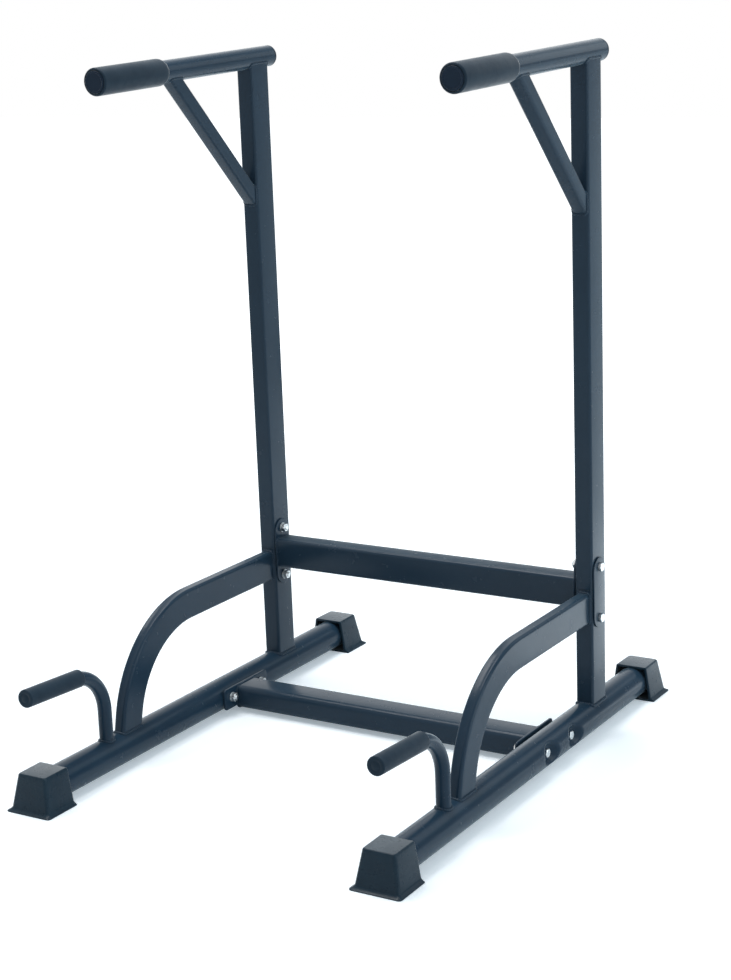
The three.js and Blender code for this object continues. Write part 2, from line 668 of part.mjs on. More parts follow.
// A side frame's origin is on the floor, under its upright. Side is +1 on the right and -1 on the left.
function sideFrame(side, name) {
  const frame = new THREE.Group();
  frame.position.set(side * TUBE_SPACING / 2, FRAME_LENGTH / 2 - UPRIGHT_SETBACK, 0);
  piece(frame, `${name}_base_tube`, baseTube(side), powderCoat(), [0, 0, baseAxisHeight]);
  piece(frame, `${name}_rear_foot`, foot(), footRubber(), [0, UPRIGHT_SETBACK, 0]);
  piece(frame, `${name}_front_foot`, foot(), footRubber(), [0, UPRIGHT_SETBACK - FRAME_LENGTH, 0])
    .rotation.z = Math.PI;
  piece(frame, `${name}_lower_upright`, lowerUpright(), powderCoat(), [0, 0, baseAxisHeight]);
  piece(frame, `${name}_upper_upright`, upperUpright(), powderCoat(), [0, 0, UPRIGHT_SPLIT_HEIGHT + SEAT_GAP]);
  piece(frame, `${name}_curved_brace`, curvedBrace(), powderCoat(), [0, 0, baseAxisHeight]);
  piece(frame, `${name}_diagonal_brace`, diagonalBrace(), powderCoat(), [0, 0, BAR_HEIGHT]);
  addDipBar(frame, name);
  addPushUpHandle(frame, name);
  return frame;
}

// The round-ended plates at the upright, and the two bolts through them. Only the right upright has
// a backing plate on its outside. On the left the bolt heads seat on the tube itself.
function addUpperJoint(frame, side, name) {
  const thickness = SIDE_PLATE_THICKNESS;
  const shape = plate({
    width: SIDE_PLATE_WIDTH,
    height: SIDE_PLATE_HEIGHT,
    corner: SIDE_PLATE_WIDTH / 2,
    thickness,
    holes: [[0, -UPPER_BOLT_SPREAD / 2], [0, UPPER_BOLT_SPREAD / 2]],
    arcSteps: ROUND_SIDES / 4,
  });
  const seat = uprightSide + SEAT_GAP;
  const plateFace = seat + thickness;
  const inner = side > 0 ? -plateFace : seat;
  const headSeat = side > 0 ? plateFace : uprightSide;
  const y = -UPPER_BAR_FORWARD;
  if (side > 0) piece(frame, `${name}_backing_plate`, shape, powderCoat(), [seat, y, UPPER_BAR_HEIGHT]);
  piece(frame, `${name}_crossbar_plate`, shape, powderCoat(), [inner, y, UPPER_BAR_HEIGHT]);
  boltSet(frame, side, `${name}_lower_joint`, y, upperBoltHeights[0], headSeat, -plateFace);
  boltSet(frame, side, `${name}_upper_joint`, y, upperBoltHeights[1], headSeat, -plateFace);
}

// The floor plate on the inside of the base tube, and the two bolts from the dimples.
function addFloorJoint(frame, side, name) {
  const thickness = FLOOR_PLATE_THICKNESS;
  const shape = plate({
    width: FLOOR_PLATE_LENGTH,
    height: FLOOR_PLATE_TALL,
    corner: FLOOR_PLATE_CORNER,
    thickness,
    holes: [[-FLOOR_BOLT_SPREAD / 2, FLOOR_BOLT_RISE], [FLOOR_BOLT_SPREAD / 2, FLOOR_BOLT_RISE]],
    arcSteps: CORNER_STEPS,
  });
  const seat = BASE_RADIUS + SEAT_GAP;
  const inner = side > 0 ? -seat - thickness : seat;
  piece(frame, `${name}_floor_plate`, shape, powderCoat(), [inner, -LOWER_BAR_FORWARD, baseAxisHeight]);
  const dimpleFloor = BASE_RADIUS - DIMPLE_DEPTH;
  const plateFace = -seat - thickness;
  const height = baseAxisHeight + FLOOR_BOLT_RISE;
  boltSet(frame, side, `${name}_front_floor`, floorBoltPlaces[0], height, dimpleFloor, plateFace);
  boltSet(frame, side, `${name}_rear_floor`, floorBoltPlaces[1], height, dimpleFloor, plateFace);
}

// A flat-sided tube across the station, centred on x = 0.
function crossbar(depth, tall, corner, wall, length) {
  const section = tubeSection(tall, depth, corner, wall);
  return solidFrom(extrude(section, length).translate(0, 0, -length / 2).rotateY(Math.PI / 2));
}

// The whole station
const dipStation = new THREE.Group();
const frames = [[-1, 'left'], [1, 'right']];
frames.forEach(([side, name]) => {
  const frame = sideFrame(side, name);
  addUpperJoint(frame, side, name);
  addFloorJoint(frame, side, name);
  dipStation.add(frame);
});

const uprightPlace = FRAME_LENGTH / 2 - UPRIGHT_SETBACK;
const upperLength = TUBE_SPACING - UPRIGHT_WIDTH - 2 * SIDE_PLATE_THICKNESS - 4 * SEAT_GAP;
const upperCrossbar = crossbar(UPPER_BAR_DEPTH, UPPER_BAR_TALL, UPPER_BAR_CORNER, UPPER_BAR_WALL, upperLength);
const upperPlace = [0, uprightPlace - UPPER_BAR_FORWARD, UPPER_BAR_HEIGHT];
piece(dipStation, 'upper_crossbar', upperCrossbar, powderCoat(), upperPlace);

const lowerLength = TUBE_SPACING - 2 * BASE_RADIUS - 2 * FLOOR_PLATE_THICKNESS - 4 * SEAT_GAP;
const lowerCrossbar = crossbar(LOWER_BAR_DEPTH, LOWER_BAR_TALL, LOWER_BAR_CORNER, LOWER_BAR_WALL, lowerLength);
const lowerPlace = [0, uprightPlace - LOWER_BAR_FORWARD, baseAxisHeight - LOWER_BAR_DROP];
piece(dipStation, 'lower_crossbar', lowerCrossbar, powderCoat(), lowerPlace);

export default dipStation;
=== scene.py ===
import math

import bmesh
import bpy
import numpy as np
from mathutils import Matrix, Vector


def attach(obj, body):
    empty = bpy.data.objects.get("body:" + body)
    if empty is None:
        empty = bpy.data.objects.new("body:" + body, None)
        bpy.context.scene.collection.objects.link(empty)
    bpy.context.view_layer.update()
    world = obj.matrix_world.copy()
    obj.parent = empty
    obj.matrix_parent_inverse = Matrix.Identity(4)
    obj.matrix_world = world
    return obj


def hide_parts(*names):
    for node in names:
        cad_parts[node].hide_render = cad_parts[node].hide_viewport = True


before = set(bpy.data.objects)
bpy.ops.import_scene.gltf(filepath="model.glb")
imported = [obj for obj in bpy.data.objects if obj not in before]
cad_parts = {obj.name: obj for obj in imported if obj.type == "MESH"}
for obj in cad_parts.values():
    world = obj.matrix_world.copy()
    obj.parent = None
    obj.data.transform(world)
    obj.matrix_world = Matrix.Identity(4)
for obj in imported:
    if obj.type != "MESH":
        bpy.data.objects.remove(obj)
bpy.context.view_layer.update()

# Sizes in millimetres, in the part's frame. Those of the camera, the stage and the lamps are in metres.
MM = 0.001
FRAME_LENGTH = 913.0
TUBE_SPACING = 600.0
UPRIGHT_SETBACK = 225.0
SEAT = 0.3
OVERRUN = 10.0

HALF_SPACING = TUBE_SPACING / 2
FRONT_END = -FRAME_LENGTH / 2
REAR_END = FRAME_LENGTH / 2
UPRIGHT_Y = REAR_END - UPRIGHT_SETBACK

SIDES = ((-1, "left"), (1, "right"))
X_AXIS = np.array([1.0, 0.0, 0.0])
Y_AXIS = np.array([0.0, 1.0, 0.0])
Z_AXIS = np.array([0.0, 0.0, 1.0])

# Lower crossbar and floor bolts
LOWER_BAR_FORWARD = 152.0
LOWER_BAR_DROP = 3.5
LOWER_BAR_TALL = 39.0
LOWER_BAR_DEPTH = 57.0
LOWER_BAR_CORNER = 10.0
LOWER_BAR_SINK = 0.7
FLOOR_PLATE_LENGTH = 125.0
FLOOR_PLATE_TALL = 36.0
FLOOR_PLATE_CORNER = 6.0
FLOOR_PLATE_THICK = 4.0
FLOOR_PLATE_EDGE = 1.2
FLOOR_BOLT_SPREAD = 84.0
FLOOR_BOLT_RISE = 2.0
LOWER_BAR_Y = UPRIGHT_Y - LOWER_BAR_FORWARD

# Base tubes and their pressed dimples
BASE_RADIUS = 25.4
BASE_INSET = 19.0
BASE_SIDES = 120
DIMPLE_PLACES = (LOWER_BAR_Y - FLOOR_BOLT_SPREAD / 2, LOWER_BAR_Y + FLOOR_BOLT_SPREAD / 2)
DIMPLE_RIM = 24.0
DIMPLE_FLOOR = 12.0
DIMPLE_DEPTH = 13.0
DIMPLE_RIM_BLEND = 5.0
DIMPLE_FLOOR_BLEND = 3.0
DIMPLE_ZONE = 30.0
DIMPLE_STATIONS = 45
MIDDLE_STATIONS = 5
END_STATIONS = 14

# Feet
FOOT_LENGTH = 67.0
FOOT_TOP_LENGTH = 52.0
FOOT_SOLE = 3.0
FOOT_ROOF = 3.8
FOOT_WALL = 4.0
FOOT_FLOOR_HALF = BASE_RADIUS + 11.1
FOOT_TOP_HALF = BASE_RADIUS + 1.6
FOOT_END_TAPER = 0.6
FOOT_LIP = 5.0
FOOT_LIP_BEVEL = 0.8
FOOT_LIP_EDGE = 1.8
FOOT_LIP_HEIGHT = 7.0
FOOT_LIP_CURVE = 1.8
FOOT_LIP_STEPS = 6
FOOT_LEVELS = (18.0, 30.0, 42.0, 50.0)
FOOT_CORNER = 6.0
FOOT_MOUTH_CORNER = 2.0
FOOT_CORNER_STEPS = 7
FOOT_TOP_ROUNDING = 2.6
FOOT_MOUTH_ROUNDING = 0.8
FOOT_ROUNDING_STEPS = 5
FOOT_BORE_STOP = 17.0
FOOT_BORE_SIDES = 64
BASE_HEIGHT = FOOT_SOLE + SEAT + BASE_RADIUS
FOOT_HEIGHT = BASE_HEIGHT + BASE_RADIUS + SEAT + FOOT_ROOF
LOWER_BAR_HEIGHT = BASE_HEIGHT - LOWER_BAR_DROP

# Uprights, sunk a little into the tubes that they are welded to
UPRIGHT_WIDTH = 30.0
UPRIGHT_DEPTH = 50.0
UPRIGHT_CORNER = 4.5
UPRIGHT_SPLIT = 242.0
UPRIGHT_BEVEL = 0.4
UPRIGHT_FOOT_SINK = 12.0
UPRIGHT_HEAD_SINK = 7.0
UPRIGHT_FRONT = UPRIGHT_Y - UPRIGHT_DEPTH / 2

# Curved braces
BRACE_WIDTH = 20.0
BRACE_DEPTH = 50.0
BRACE_CORNER = 5.0
BRACE_TOP = 236.7
BRACE_RUN = 238.0
BRACE_RADIUS = 174.0
BRACE_TURN = math.radians(78)
BRACE_OVERLAP = 1.0
BRACE_FOOT_SINK = 8.0
BRACE_FLAT_SPANS = 6
BRACE_BEND_STEPS = 40
BRACE_STRAIGHT_STEPS = 4
BEND_DIP = 0.9
BEND_DIP_BAND = 0.5
BEND_DIP_HALF_WIDTH = BRACE_WIDTH / 2 - BRACE_CORNER + 1.0

# Dip bars with their diagonal braces, grips and caps
BAR_HEIGHT = 1071.0
BAR_TILT = math.radians(2.2)
BAR_RADIUS = 17.0
BAR_REACH = 415.0
BAR_TAIL = 50.5
BAR_BEVEL = 0.5
BAR_SIDES = 72
DIAGONAL_SIZE = 24.0
DIAGONAL_CORNER = 5.0
DIAGONAL_DROP = 221.0
DIAGONAL_FOOT_SINK = 2.0
DIAGONAL_HEAD_SINK = 3.0
CAP_HEAD = 3.0
CAP_EDGE = 1.2
CAP_EDGE_STEPS = 4
CAP_INSET = 0.2
CAP_SIDES = 64

# The front cap's recess and flat rim, as (radius, depth), and the rear cap's dome, as (radius, height)
CAP_FACE = ((0.0, 0.5), (13.5, 0.5), (14.2, 0.0), (15.6, 0.0))
REAR_CAP_RIM = 1.8
REAR_CAP_RIM_DEGREES = 60
REAR_CAP_RIM_STEPS = 3
REAR_CAP_HEAD = 5.0
REAR_CAP_DOME = ((12.5, 3.9), (7.5, 4.7), (0.0, REAR_CAP_HEAD))

# The dip grip's mouth and lip, as (distance from the bore, distance from the end), the rings along it,
# and its taper at the rear, as (depth, distance from the end)
DIP_GRIP_RADIUS = 21.0
DIP_GRIP_LENGTH = 162.0
DIP_GRIP_ROUNDING = 3.2
DIP_GRIP_ROUNDING_STEPS = 7
DIP_GRIP_MOUTH = ((0.0, 2.0), (0.4, 0.6))
DIP_GRIP_RINGS = (40.0, 80.0)
DIP_GRIP_TAPER = ((0.0, 9.0), (0.5, 6.0), (1.5, 3.0))
DIP_GRIP_LIP = ((1.1, 0.6), (0.5, 0.0), (0.0, 0.0))

# Push-up handles and their closed-end grips
HANDLE_RADIUS = 11.0
HANDLE_FORWARD = 492.5
HANDLE_LEG_TOP = 102.7
HANDLE_BEND = 70.0
HANDLE_RISE = math.radians(3.3)
HANDLE_STRAIGHT = 109.8
HANDLE_FOOT_SINK = 14.0
HANDLE_SIDES = 48
HANDLE_BEND_STEPS = 28
HANDLE_STRAIGHT_STEPS = 3
HANDLE_Y = UPRIGHT_Y - HANDLE_FORWARD
PUSH_GRIP_RADIUS = 14.0
PUSH_GRIP_LENGTH = 124.0
PUSH_GRIP_SIDES = 56
PUSH_GRIP_END = 4.0
PUSH_GRIP_MOUTH = ((0.0, 10.0), (0.8, 0.4), (1.0, 0.0))
PUSH_GRIP_MOUTH_ROUNDING = 1.5
PUSH_GRIP_MOUTH_STEPS = 5
PUSH_GRIP_RINGS = (40.0, 80.0)
PUSH_GRIP_END_ROUNDING = 2.4
PUSH_GRIP_END_STEPS = 6

# The groove moulded in the push-up grip's end, as (radius, depth)
PUSH_GRIP_GROOVE = ((8.4, 0.0), (7.6, 0.5), (6.6, 0.5), (5.8, 0.0), (0.0, 0.0))

# Upper crossbar and the round-ended plates beside the uprights
UPPER_BAR_FORWARD = 3.0
UPPER_BAR_HEIGHT = 234.5
UPPER_BAR_TALL = 50.0
UPPER_BAR_DEPTH = 40.0
UPPER_BAR_CORNER = 6.0
UPPER_BAR_SINK = 0.3
SIDE_PLATE_WIDTH = 40.0
SIDE_PLATE_TALL = 115.0
SIDE_PLATE_THICK = 2.5
SIDE_PLATE_EDGE = 0.5
SIDE_PLATE_END_FLAT = 0.01
SIDE_PLATE_STEPS = 16
UPPER_BOLT_SPREAD = 84.0
UPPER_BAR_Y = UPRIGHT_Y - UPPER_BAR_FORWARD
UPPER_BOLTS = (UPPER_BAR_HEIGHT - UPPER_BOLT_SPREAD / 2, UPPER_BAR_HEIGHT + UPPER_BOLT_SPREAD / 2)

# How far the plates' inner faces lie from the middle of a side frame
UPPER_FACE = UPRIGHT_WIDTH / 2 + SEAT + SIDE_PLATE_THICK
LOWER_FACE = BASE_RADIUS + SEAT + FLOOR_PLATE_THICK

# Bolts, washers and nuts
BOLT_RADIUS = 4.0
BOLT_SIDES = 32
BOLT_TAIL = 2.0
BOLT_TIP_BEVEL = 0.9
HEX_FLATS = 13.0
HEX_POINTS = 72
HEX_CHAMFER = 0.9
HEX_CHAMFER_INSET = 0.5
HEX_CHAMFER_STEPS = 4
HEX_SEAT_HEIGHT = 0.4
HEX_SEAT_INSET = 0.2
HEAD_HEIGHT = 5.3
HEAD_CENTRE = 0.01
HEAD_OVERLAP = 0.2
NUT_HEIGHT = 6.5
NUT_BORE_BEVEL = 0.5
WASHER_RADIUS = 8.0
WASHER_THICK = 1.6
WASHER_BEVEL = 0.2
WASHER_SIDES = 48

# Threads, with each crest and root as (depth under the bolt's radius, distance along one turn)
THREAD_PITCH = 1.25
THREAD_TURNS = 4
THREAD_PROFILE = ((0.05, 0.6), (0.65, 1.2))
THREAD_END = 6.0
SHANK_INSET = 0.1

# Weld beads: their radii, their ripples as shares of the radius, and a direction that no seam follows
UPRIGHT_FOOT_WELD = 2.9
UPRIGHT_HEAD_WELD = 2.1
BRACE_WELD = 2.7
HANDLE_WELD = 2.7
DIAGONAL_FOOT_WELD = 2.1
DIAGONAL_HEAD_WELD = 2.0
CROSSBAR_WELD = 1.8
WELD_PITCH = 3.2
WELD_SIDES = 10
RIPPLE_STEPS = 5
RIPPLE_LOW_SHARE = 0.86
RIPPLE_RISE_SHARE = 0.2
OFF_SEAM = (0.31, 0.42, 0.85)

# How finely corners are divided, and the angle past which an edge stays sharp, in degrees
CORNER_STEPS = 6
FINE_CORNER_STEPS = 8
EDGE_STEPS = 4
CREASE = 34
BASE_CREASE = 50
WELD_CREASE = 60
ZINC_CREASE = 28
FOOT_CREASE = 38
CUTTER_CREASE = 30

# A ring of this radius stands for a point on the axis, and points within this many metres become one
AXIS_RADIUS = 1e-4
MERGE_DISTANCE = 1e-7

# Camera, solved from the photograph
CAMERA_PLACE = (1.592606, -2.544225, 1.170379)
CAMERA_YAW, CAMERA_PITCH, CAMERA_ROLL = (math.radians(angle) for angle in (31.5556, 13.9940, -2.12222))
CAMERA_LENS = 73.44
CAMERA_SENSOR_HEIGHT = 36.0

# Shader nodes
NOISE_ROUGHNESS = 0.55
WHITE = (1.0, 1.0, 1.0)

# The mix node's sockets go by number, because each of their names occurs once for every kind of value
MIX_SHARE, MIX_FIRST_VALUE, MIX_SECOND_VALUE, MIX_FIRST_COLOUR, MIX_SECOND_COLOUR = 0, 2, 3, 6, 7
MIXED_VALUE, MIXED_COLOUR = 0, 2

# Colours and finishes
COAT_DARK = (0.0088, 0.0275, 0.0510)
COAT_LIGHT = (0.0120, 0.0330, 0.0590)
COAT_SPECK = (0.024, 0.042, 0.060)
COAT_EDGE = (0.05, 0.07, 0.09)
COAT_SHEEN_TINT = (0.78, 0.93, 1.0)
EDGE_POINTINESS = (0.53, 0.62)
# Painted top light, partly dust: the lighter colour of faces that look up, and the slopes over which it
# comes in
TOP_LIGHT_AND_DUST = (0.100, 0.125, 0.148)
TOP_LIGHT_AND_DUST_SLOPE = (0.92, 0.995)
RUBBER_SPECK_GAIN = 2.2
RUBBER_ROUGHNESS_SPREAD = 0.06
ZINC_DARK = (0.60, 0.64, 0.66)
ZINC_LIGHT = (0.78, 0.81, 0.82)

# Floor: only what is seen or mirrored of it glows, and it gives no light. Distances are in metres.
FLOOR_HALF = 14.0
FLOOR_DARK = (0.86, 0.87, 0.88)
FLOOR_LIGHT = (0.88, 0.89, 0.90)
GLOW_SEEN = (0.29, 0.33, 0.36)
GLOW_FADE = (1.0, 3.5)
# What reflections see of the floor is a painted reflection: painted shade under the object and in a patch
# beside it, lighter around it
MIRRORED_UNDER = (0.16, 0.20, 0.23)
MIRRORED_AROUND = (0.50, 0.60, 0.66)
MIRRORED_AROUND_EDGE = (0.55, 1.1)
MIRRORED_BEYOND = (0.30, 0.37, 0.42)
MIRRORED_HORIZON = (0.62, 0.74, 0.82)
HORIZON_EDGE = (4.0, 9.0)
DARK_PATCH_PLACE = (-1.0, 0.1, 0.0)
DARK_PATCH_EDGE = (0.25, 0.50)

# Card: its left and right ends, each as (x, y), with its lower and upper heights there, in metres
CARD_LEFT = (-0.53, 0.45)
CARD_LEFT_HEIGHTS = (0.290, 0.405)
CARD_RIGHT = (0.04, 0.84)
CARD_RIGHT_HEIGHTS = (0.410, 0.545)
CARD_GLOW = (0.10, 0.13, 0.15)

# Studio: directions in which reflections find it darker or lighter, and the light that it gives
DARK_SIDE = (0.45, 0.78, 0.43)
DARK_SIDE_EDGE = (0.70, 0.96)
DARK_SIDE_STRENGTH = 0.25
LIT_CORNER = (-0.51, 0.83, 0.24)
LIT_CORNER_EDGE = (0.90, 0.98)
LIT_CORNER_GAIN = 0.35
STUDIO_LIGHT = 0.34
STUDIO_TINT = (0.80, 0.93, 1.0)

# Lamps, as (name, place, target, size, power, colour)
MIDDLE = (0.0, 0.0, 0.5)
COOL = (0.82, 0.94, 1.0)
PALE = (0.86, 0.95, 1.0)
LAMPS = (
    ("side", (5.8, 0.5, 2.54), MIDDLE, (4.1, 3.7), 141, COOL),
    ("floor_patch", (0.73, 0.92, 0.004), (0.73, 0.92, 1.0), (0.6, 0.9), 1.9, PALE),
    ("bars", (1.7, 2.5, 2.1), (0.3, 0.0, 1.05), (2.1, 1.5), 12, PALE),
    ("top", (-1.0, 0.4, 4.2), MIDDLE, (2.6, 2.6), 156, WHITE),
)


# Building shader nodes
class Nodes:
    """A short way to add and fill the shader nodes of one material or world."""

    def __init__(self, tree):
        self.tree = tree

    def add(self, kind, inputs=None, **settings):
        node = self.tree.nodes.new(kind)
        for key, value in settings.items():
            setattr(node, key, value)
        self.fill(node, inputs or {})
        return node

    def fill(self, node, inputs):
        """Gives each input, by name or number, a value or another node's output."""
        for key, value in inputs.items():
            target = node.inputs[key]
            if isinstance(value, bpy.types.NodeSocket):
                self.tree.links.new(value, target)
            elif target.type == "RGBA":
                target.default_value = (*value, 1)
            else:
                target.default_value = value


def remap(nodes, value, within, to=(0.0, 1.0)):
    inputs = {"Value": value, "From Min": within[0], "From Max": within[1], "To Min": to[0], "To Max": to[1]}
    return nodes.add("ShaderNodeMapRange", inputs).outputs["Result"]


def noise(nodes, place, scale, detail):
    inputs = {"Vector": place, "Scale": scale, "Detail": detail, "Roughness": NOISE_ROUGHNESS}
    return nodes.add("ShaderNodeTexNoise", inputs).outputs["Fac"]


def patches(nodes, place, scale, detail, within, to=(0.0, 1.0)):
    """Noise whose middle range is stretched to the given one."""
    return remap(nodes, noise(nodes, place, scale, detail), within, to)


def blend(nodes, share, first, second):
    """A colour between two, each of them a colour or another node's output."""
    inputs = {MIX_SHARE: share, MIX_FIRST_COLOUR: first, MIX_SECOND_COLOUR: second}
    return nodes.add("ShaderNodeMix", inputs, data_type="RGBA").outputs[MIXED_COLOUR]


def choose(nodes, share, first, second):
    """A number between two, each of them a number or another node's output."""
    inputs = {MIX_SHARE: share, MIX_FIRST_VALUE: first, MIX_SECOND_VALUE: second}
    return nodes.add("ShaderNodeMix", inputs, data_type="FLOAT").outputs[MIXED_VALUE]


def by_ray(nodes, seen, mirrored, lighting):
    """One number for rays from the camera, one for reflections and one for light that falls on things."""
    path = nodes.add("ShaderNodeLightPath").outputs
    indirect = choose(nodes, path["Is Glossy Ray"], lighting, mirrored)
    return choose(nodes, path["Is Camera Ray"], indirect, seen)


def bumps(nodes, layers):
    """A normal with stacked bump layers of (height, strength, distance)."""
    inputs = {}
    for height, strength, distance in layers:
        inputs.update({"Height": height, "Strength": strength, "Distance": distance})
        inputs["Normal"] = nodes.add("ShaderNodeBump", inputs).outputs["Normal"]
    return inputs["Normal"]


# Materials
def new_material(name):
    material = bpy.data.materials.new(name)
    material.use_nodes = True
    nodes = Nodes(material.node_tree)
    shader = material.node_tree.nodes["Principled BSDF"]
    place = nodes.add("ShaderNodeTexCoord").outputs["Object"]
    return material, nodes, shader, place


def edge_share(nodes, most):
    """The given share on a mesh's outer edges, and none on its flats."""
    pointiness = nodes.add("ShaderNodeNewGeometry").outputs["Pointiness"]
    return remap(nodes, pointiness, EDGE_POINTINESS, (0.0, most))


def top_light_and_dust_share(nodes, most):
    """How much painted top light, partly dust, a face gets: the given share where it faces up, and none on
    its sides.
    """
    normal = nodes.add("ShaderNodeNewGeometry").outputs["Normal"]
    parts = nodes.add("ShaderNodeSeparateXYZ", {0: normal})
    return remap(nodes, parts.outputs["Z"], TOP_LIGHT_AND_DUST_SLOPE, (0.0, most))


def powder_coat_material():
    """A dark blue coat: cloudy, finely speckled, slightly uneven, and a little lighter on its edges."""
    material, nodes, shader, place = new_material("powder_coat")
    cloud = patches(nodes, place, scale=9.0, detail=4.0, within=(0.35, 0.65))
    speck = patches(nodes, place, scale=900.0, detail=2.0, within=(0.62, 0.74), to=(0.0, 0.12))
    colour = blend(nodes, speck, blend(nodes, cloud, COAT_DARK, COAT_LIGHT), COAT_SPECK)
    nodes.fill(shader, {
        "Base Color": blend(nodes, edge_share(nodes, 0.3), colour, COAT_EDGE),
        "Roughness": patches(nodes, place, scale=60.0, detail=3.0, within=(0.3, 0.7), to=(0.21, 0.28)),
        "Specular IOR Level": 0.17,
        "Sheen Weight": 0.24,
        "Sheen Roughness": 0.35,
        "Sheen Tint": COAT_SHEEN_TINT,
        "Normal": bumps(nodes, [
            (noise(nodes, place, scale=500.0, detail=2.0), 0.05, 0.0004),
            (noise(nodes, place, scale=120.0, detail=2.0), 0.05, 0.001),
        ]),
    })
    return material


def rubber_material(name, dark, light, grain, roughness, gloss, sheen, top_light_and_dust=0.0):
    """Moulded rubber or plastic: cloudy, speckled and grained, and painted lighter where it faces up, as
    painted top light that is partly dust.
    """
    material, nodes, shader, place = new_material(name)
    cloud = patches(nodes, place, scale=30.0, detail=5.0, within=(0.35, 0.68))
    speck = patches(nodes, place, scale=400.0, detail=4.0, within=(0.6, 0.8), to=(0.0, 0.10))
    speck_colour = tuple(RUBBER_SPECK_GAIN * value for value in light)
    colour = blend(nodes, speck, blend(nodes, cloud, dark, light), speck_colour)
    rough = (roughness - RUBBER_ROUGHNESS_SPREAD, roughness + RUBBER_ROUGHNESS_SPREAD)
    nodes.fill(shader, {
        "Base Color": blend(nodes, top_light_and_dust_share(nodes, top_light_and_dust), colour, TOP_LIGHT_AND_DUST),
        "Roughness": patches(nodes, place, scale=80.0, detail=3.0, within=(0.3, 0.7), to=rough),
        "Specular IOR Level": gloss,
        "Sheen Weight": sheen,
        "Sheen Roughness": 0.30,
        "Normal": bumps(nodes, [
            (noise(nodes, place, scale=grain, detail=3.0), 0.09, 0.0004),
            (noise(nodes, place, scale=90.0, detail=3.0), 0.08, 0.001),
        ]),
    })
    return material


def zinc_material():
    """Bright zinc plate with a cloudy colour and finish."""
    material, nodes, shader, place = new_material("zinc")
    cloud = patches(nodes, place, scale=250.0, detail=4.0, within=(0.3, 0.7))
    nodes.fill(shader, {
        "Base Color": blend(nodes, cloud, ZINC_DARK, ZINC_LIGHT),
        "Roughness": patches(nodes, place, scale=500.0, detail=3.0, within=(0.3, 0.7), to=(0.22, 0.38)),
        "Metallic": 1.0,
        "Normal": bumps(nodes, [(noise(nodes, place, scale=900.0, detail=3.0), 0.12, 0.0003)]),
    })
    return material


COAT = powder_coat_material()
# The feet's tops are painted lighter: painted top light, partly dust
FOOT = rubber_material("foot_rubber", dark=(0.0060, 0.0215, 0.0375), light=(0.0090, 0.0280, 0.0460),
                       grain=900.0, roughness=0.30, gloss=0.15, sheen=0.85, top_light_and_dust=0.58)
GRIP = rubber_material("grip_rubber", dark=(0.0105, 0.0240, 0.0400), light=(0.0150, 0.0310, 0.0490),
                       grain=1100.0, roughness=0.55, gloss=0.12, sheen=0.5)
CAP = rubber_material("cap_plastic", dark=(0.0080, 0.0190, 0.0380), light=(0.0120, 0.0250, 0.0450),
                      grain=1400.0, roughness=0.42, gloss=0.12, sheen=0.6)
ZINC = zinc_material()


# Meshes
def new_mesh(name, points, faces):
    mesh = bpy.data.meshes.new(name)
    mesh.from_pydata((np.asarray(points) * MM).tolist(), [], [list(map(int, face)) for face in faces])
    return mesh


def add_piece(name, points, faces, material, replaced=(), crease=CREASE):
    """A closed mesh in millimetres, smooth except at edges sharper than the crease, riding on the frame."""
    mesh = new_mesh(name, points, faces)
    mesh.materials.append(material)
    piece = bpy.data.objects.new(name, mesh)
    bpy.context.scene.collection.objects.link(piece)
    finish_mesh(piece, crease)
    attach(piece, "root")
    if replaced:
        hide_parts(*replaced)
    return piece


def finish_mesh(piece, crease):
    """Merges points that coincide, turns the faces outward and sets the shading."""
    shape = bmesh.new()
    shape.from_mesh(piece.data)
    bmesh.ops.remove_doubles(shape, verts=shape.verts, dist=MERGE_DISTANCE)
    bmesh.ops.recalc_face_normals(shape, faces=shape.faces)
    shape.to_mesh(piece.data)
    shape.free()
    piece.data.shade_smooth()
    piece.data.set_sharp_from_angle(angle=math.radians(crease))
    piece.data.update()


def cut(piece, points, faces):
    """Takes a closed form away from a piece's mesh."""
    cutter = bpy.data.objects.new("cutter", new_mesh("cutter", points, faces))
    bpy.context.scene.collection.objects.link(cutter)
    finish_mesh(cutter, CUTTER_CREASE)
    modifier = piece.modifiers.new("cut", "BOOLEAN")
    modifier.operation = "DIFFERENCE"
    modifier.solver = "EXACT"
    modifier.object = cutter
    graph = bpy.context.evaluated_depsgraph_get()
    result = bpy.data.meshes.new_from_object(piece.evaluated_get(graph))
    piece.modifiers.clear()
    piece.data = result
    bpy.data.objects.remove(cutter)


def arc(centre, radius, start, end, steps):
    """Points of an outline or profile round a corner, with angles in degrees."""
    angles = np.radians(np.linspace(start, end, steps + 1))
    return [(centre[0] + radius * math.cos(angle), centre[1] + radius * math.sin(angle)) for angle in angles]


def divided(first, last, spans):
    """The points that divide a line into spans, without its ends."""
    shares = np.linspace(0, 1, spans + 1)[1:-1]
    return [tuple(np.array(first) * (1 - share) + np.array(last) * share) for share in shares]


def rounded(width, height, radius, steps=CORNER_STEPS, spans=1):
    """A rounded rectangle's outline, anticlockwise. Each flat is divided into the given number of spans."""
    outline = []
    for right, up, start in ((1, -1, -90), (1, 1, 0), (-1, 1, 90), (-1, -1, 180)):
        centre = (right * (width / 2 - radius), up * (height / 2 - radius))
        corner = arc(centre, radius, start, start + 90, steps)
        if outline:
            outline += divided(outline[-1], corner[0], spans)
        outline += corner
    return np.array(outline + divided(outline[-1], outline[0], spans))


def circle(radius, sides):
    angles = np.linspace(0, 2 * math.pi, sides, endpoint=False)
    return np.stack([radius * np.cos(angles), radius * np.sin(angles)], -1)


def section(outline, centre, across, along):
    """A flat outline placed in space."""
    return np.asarray(centre) + np.outer(outline[:, 0], across) + np.outer(outline[:, 1], along)


